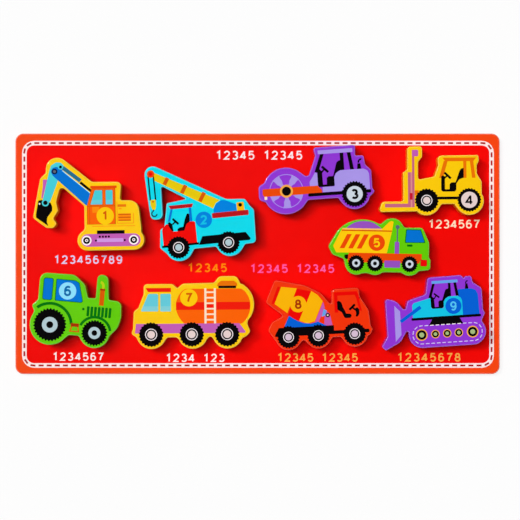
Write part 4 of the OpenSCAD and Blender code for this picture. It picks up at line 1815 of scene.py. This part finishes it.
@dataclass
class Bulldozer(VehicleBlock):
    """Vehicle 9: blade, hood, cab, engine and track."""

    name: str = "bulldozer"
    number: int = 9
    paint: Paint = Paint.PURPLE
    place: Triple = (111.3, -39.1, 3.8)
    dots: tuple[Point, Point] = ((-8.0, -4.0), (15.0, 2.0))
    label: Label = Label(Ink.HONEY, (86.2, -66.5), (125.4, -61.0), (8,))
    skirt_left: Point = (-6.9, -4.4)
    skirt_right: Point = (14.2, -4.4)
    dash_pitch: float = 3.3
    first_dash: float = -0.25
    dash_length: float = 2.2
    dash_width: float = 0.5
    axle_y: float = -9.8
    rollers: tuple[Point, ...] = ((-11.6, 3.6), (-3.2, 2.6), (4.0, 2.6), (11.1, 2.6), (19.6, 3.6))
    tread_share: float = 0.81
    cap_share: float = 0.42

    def draw(self, sheet: PrintSheet) -> None:
        """Prints the bulldozer.

        Args:
            sheet: The block's print.
        """
        self.draw_hood(sheet)
        self.draw_cab(sheet)
        self.draw_track(sheet)

    def draw_hood(self, sheet: PrintSheet) -> None:
        """Prints the blade with its arm, the hood, the engine and the number.

        Args:
            sheet: The block's print.
        """
        sheet.panel(Ink.LAVENDER, [(-27.2, 9.1), (-23.9, 5.4), (-23.9, -9.0), (-27.7, -13.0)], 0.2)
        sheet.panel(Ink.COBALT, [(12.2, 0.6), (12.2, 16.7), (20.6, 16.7), (23.0, 15.6),
                                 (24.3, 13.0), (24.6, 0.6)], 0.6)
        sheet.panel(Ink.CYAN, [(-16.3, 0.6), (-16.3, 8.6), (-15.2, 9.9), (-4.4, 12.5), (-4.4, 5.8),
                               (3.0, 5.8), (3.1, 9.6), (4.4, 11.6), (6.6, 12.7), (11.6, 12.7),
                               (13.6, 11.6), (14.4, 9.6), (14.4, 0.6)], 0.3)
        sheet.bar(Ink.COBALT, (-23.9, -1.0), (-11.2, 7.3), 2.1, 0.5)
        sheet.panel(Ink.BLACK, [(16.6, 16.6), (18.7, 16.6), (18.4, 19.8), (17.0, 19.8)])
        sheet.arc(Ink.BLACK, (18.6, 20.2), 1.3, 0.7, 90, 195)
        sheet.disc(Ink.COBALT, (8.9, 6.6), 4.9)
        sheet.numeral(Ink.SKY, self.number, (8.9, 6.6), 5.7, 0.17)
        sheet.box(Ink.BLACK, (-17.2, -0.8), (25.3, 0.8), 0.6)
        sheet.panel(Ink.BLACK, [(-4.6, -0.7), (12.3, -0.7), self.skirt_right, self.skirt_left])

    def draw_cab(self, sheet: PrintSheet) -> None:
        """Prints the roof, the posts, the seat and the steering wheel.

        Args:
            sheet: The block's print.
        """
        sheet.box(Ink.PERIWINKLE, (-3.5, 20.9), (12.4, 22.6), 0.2)
        sheet.panel(Ink.BLACK, [(-3.2, 20.9), (-1.6, 20.9), (-4.0, 13.4), (-2.6, 12.2),
                                (-2.5, 6.7), (-0.2, 6.7), (-0.1, 9.8), (0.6, 10.5), (2.2, 10.5),
                                (4.4, 16.4), (5.2, 17.3), (6.4, 17.5), (6.4, 20.9), (7.9, 20.9),
                                (7.9, 12.7), (6.2, 12.6), (4.2, 11.4), (3.1, 9.4), (3.0, 6.8),
                                (2.2, 5.7), (-3.8, 5.7), (-4.8, 6.8), (-4.8, 12.2), (-6.0, 12.5)],
                    0.15)
        sheet.panel(Ink.BLACK, [(9.8, 20.9), (11.4, 20.9), (12.6, 12.8), (10.8, 12.8)])
        sheet.bar(Ink.BLACK, (-2.6, 15.0), (0.7, 12.3), 1.0, 0.4)
        sheet.bar(Ink.BLACK, (-1.2, 13.7), (-2.7, 11.6), 0.7)

    def draw_track(self, sheet: PrintSheet) -> None:
        """Prints the track's dashed outline, whiter along the skirt, and its rollers.

        Args:
            sheet: The block's print.
        """
        path = RoundedLoop((-16.9, -15.3), (25.4, -4.3), 5.4)
        (left, bottom), (right, _) = self.skirt_left, self.skirt_right
        for point, heading in path.walk(self.dash_pitch, self.first_dash):
            over_skirt = point[1] > bottom and left < point[0] < right
            ink = Ink.WHITE if over_skirt else Ink.PEARL
            sheet.dash(ink, point, heading, self.dash_length, self.dash_width)
        for x, radius in self.rollers:
            tread, cap = radius * self.tread_share, radius * self.cap_share
            rings = ((Ink.HONEY, radius), (Ink.BLACK, tread), (Ink.SAGE, cap))
            sheet.target((x, self.axle_y), *rings)


@dataclass
class BaseBoard:
    """The board: a painted panel with a printed field, a dashed border and counting rows.

    Sizes are in millimetres. The rim is the paint left bare along X and along Y.
    """

    length: float = 300.0
    depth: float = 149.0
    thickness: float = 6.0
    corner_radius: float = 5.0
    corner_steps: int = 12
    edge_radius: float = 0.8
    rim: Point = (3.94, 4.24)
    band: float = 2.84
    band_radius: float = 7.43
    dash_length: float = 3.1
    dash_width: float = 1.15
    dash_pitch: float = 5.03
    first_dash: float = 1.75
    print_shift: Point = (0.28, -0.3)

    def build(self, vehicles: Sequence[VehicleBlock]) -> None:
        """Models and prints the board.

        Args:
            vehicles: The blocks, for their counting rows.
        """
        self.build_panel()
        self.build_print(vehicles)

    def build_panel(self) -> None:
        """Models the wooden panel with rounded corners and edges."""
        mesh = bmesh.new()
        size = Vector((self.length, self.depth, self.thickness)) * MM
        place = Matrix.Translation((0, 0, size.z / 2)) @ Matrix.Diagonal((*size, 1.0))
        bmesh.ops.create_cube(mesh, size=1.0, matrix=place)
        level = level_edges(mesh)
        upright = [edge for edge in mesh.edges if edge not in level]
        round_edges(mesh, upright, self.corner_radius * MM, self.corner_steps)
        round_edges(mesh, level_edges(mesh), self.edge_radius * MM)
        smooth_faces(mesh)
        # The rounded edges get a painted highlight.
        mark_edges(mesh)
        paint = Paint.ORANGE
        piece = finish_piece("board_panel", mesh, [paint.material()], "board", paint.slot)
        even_normals(piece)
        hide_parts("base_board")

    def build_print(self, vehicles: Sequence[VehicleBlock]) -> None:
        """Prints the border, the field and the counting rows.

        Args:
            vehicles: The blocks, for their counting rows.
        """
        sheet = PrintSheet()
        x, y = self.length / 2 - self.rim[0], self.depth / 2 - self.rim[1]
        sheet.box(Ink.BAND, (-x, -y), (x, y), self.band_radius)
        x, y = x - self.band, y - self.band
        sheet.box(Ink.FIELD, (-x, -y), (x, y), self.band_radius - self.band)
        x, y = x + self.band / 2, y + self.band / 2
        track = RoundedLoop((-x, -y), (x, y), self.band_radius - self.band / 2)
        for point, heading in track.walk(self.dash_pitch, self.first_dash):
            sheet.dash(Ink.DASH, point, heading, self.dash_length, self.dash_width)
        for vehicle in vehicles:
            vehicle.label.draw(sheet)
        face = Matrix.Translation((*self.print_shift, self.thickness))
        sheet.finish("board_print", Matrix.Scale(MM, 4) @ face, "board", Paint.ORANGE.slot)


@dataclass
class Studio:
    """Floor, light and camera: straight down on the board, light from the upper left.

    Places are in metres, lamp widths in degrees, and the lens and its sensor in millimetres.
    """

    camera_at: Triple = (0.00154, -0.00384, 1.13)
    lens: float = 125.68
    sensor: float = 36.0
    key_from: Triple = (-0.48, 0.27, 1.0)
    key_angle: float = 11.0
    key: float = 1.36
    top_from: Triple = (-0.16, 0.11, 1.0)
    top_angle: float = 23.0
    top: float = 1.7
    glint_from: Triple = (-0.8, 0.55, 1.0)
    glint_angle: float = 10.0
    glint: float = 2.0
    fill: float = 0.1
    tint: Rgba = (1.0, 0.98, 0.97, 1.0)
    walls: float = 1.0
    walls_below: float = 0.4
    ceiling: float = 0.06
    ceiling_above: float = 0.8
    floor_size: float = 3.0
    floor_z: float = -0.0002
    floor_white: float = 0.82
    paper: Rgba = (0.9, 0.9, 0.9, 1.0)
    WHITE: ClassVar[Rgba] = (1.0, 1.0, 1.0, 1.0)

    def build(self) -> None:
        """Sets the stage."""
        self.build_camera()
        self.build_light()
        self.build_floor()

    def build_camera(self) -> None:
        """Adds the camera."""
        data = bpy.data.cameras.new("camera")
        data.lens = self.lens
        data.sensor_width = self.sensor
        camera = bpy.data.objects.new("camera", data)
        camera.location = self.camera_at
        bpy.context.scene.collection.objects.link(camera)
        bpy.context.scene.camera = camera
        bpy.context.scene.view_settings.view_transform = "Standard"

    def sun(self, name: str, source: Triple, angle: float, energy: float) -> bpy.types.Object:
        """Adds a distant light.

        Args:
            name: Its name.
            source: Direction that it shines from.
            angle: Its width in degrees.
            energy: Its strength.

        Returns:
            The lamp.
        """
        data = bpy.data.lights.new(name, "SUN")
        data.energy = energy
        data.angle = math.radians(angle)
        lamp = bpy.data.objects.new(name, data)
        lamp.rotation_mode = "QUATERNION"
        lamp.rotation_quaternion = Vector(source).to_track_quat("Z", "Y")
        bpy.context.scene.collection.objects.link(lamp)
        return lamp

    def build_light(self) -> None:
        """Adds two soft lamps, a glint on the edges and a fill that the camera sees as white.

        Glossy paint sees pale walls round the table and a dim ceiling over it.
        """
        self.sun("key", self.key_from, self.key_angle, self.key).visible_glossy = False
        self.sun("top", self.top_from, self.top_angle, self.top).visible_glossy = False
        self.sun("glint", self.glint_from, self.glint_angle, self.glint).visible_diffuse = False
        graph = Graph(bpy.data.worlds.new("studio"))
        bpy.context.scene.world = graph.owner
        seen = graph.node("ShaderNodeLightPath", output="Is Camera Ray")
        glossy = graph.node("ShaderNodeLightPath", output="Is Glossy Ray")
        heading = graph.node("ShaderNodeTexCoord", output="Generated")
        height = graph.node("ShaderNodeSeparateXYZ", None, {0: heading}, "Z")
        low = graph.step(height, self.ceiling_above, self.walls_below)
        walls = low.between(self.ceiling, self.walls)
        strength = self.fill + glossy * (walls - self.fill)
        wanted = {"Color": self.tint, "Strength": strength}
        light = graph.node("ShaderNodeBackground", None, wanted)
        white = graph.node("ShaderNodeBackground", None, {"Color": self.WHITE})
        both = graph.node("ShaderNodeMixShader", None, {0: seen, 1: light, 2: white})
        graph.node("ShaderNodeOutputWorld", None, {"Surface": both})

    def build_floor(self) -> None:
        """Adds a pale floor that keeps a soft shadow."""
        mesh = bmesh.new()
        bmesh.ops.create_grid(mesh, x_segments=2, y_segments=2, size=self.floor_size / 2)
        bmesh.ops.translate(mesh, verts=mesh.verts, vec=(0, 0, self.floor_z))
        data = bpy.data.meshes.new("floor")
        mesh.to_mesh(data)
        mesh.free()
        graph = Graph(bpy.data.materials.new("floor_paper"))
        paper = graph.node("ShaderNodeBsdfDiffuse", None, {"Color": self.paper})
        glow = graph.node("ShaderNodeEmission", None, {"Color": self.WHITE})
        seen = graph.node("ShaderNodeLightPath", output="Is Camera Ray")
        wanted = {0: self.floor_white * seen, 1: paper, 2: glow}
        both = graph.node("ShaderNodeMixShader", None, wanted)
        graph.node("ShaderNodeOutputMaterial", None, {"Surface": both})
        data.materials.append(graph.owner)
        floor = bpy.data.objects.new("floor", data)
        bpy.context.scene.collection.objects.link(floor)


def main() -> None:
    """Builds the board, the blocks and the studio."""
    logging.basicConfig(level=logging.INFO, format="%(message)s")
    vehicles = [
        Excavator(), Crane(), StreetRoller(), Forklift(), TipperTruck(), Tractor(), TankCar(),
        TruckMixer(), Bulldozer(),
    ]
    BaseBoard().build(vehicles)
    for vehicle in vehicles:
        vehicle.build()
    Studio().build()


if __name__ == "__main__":
    main()
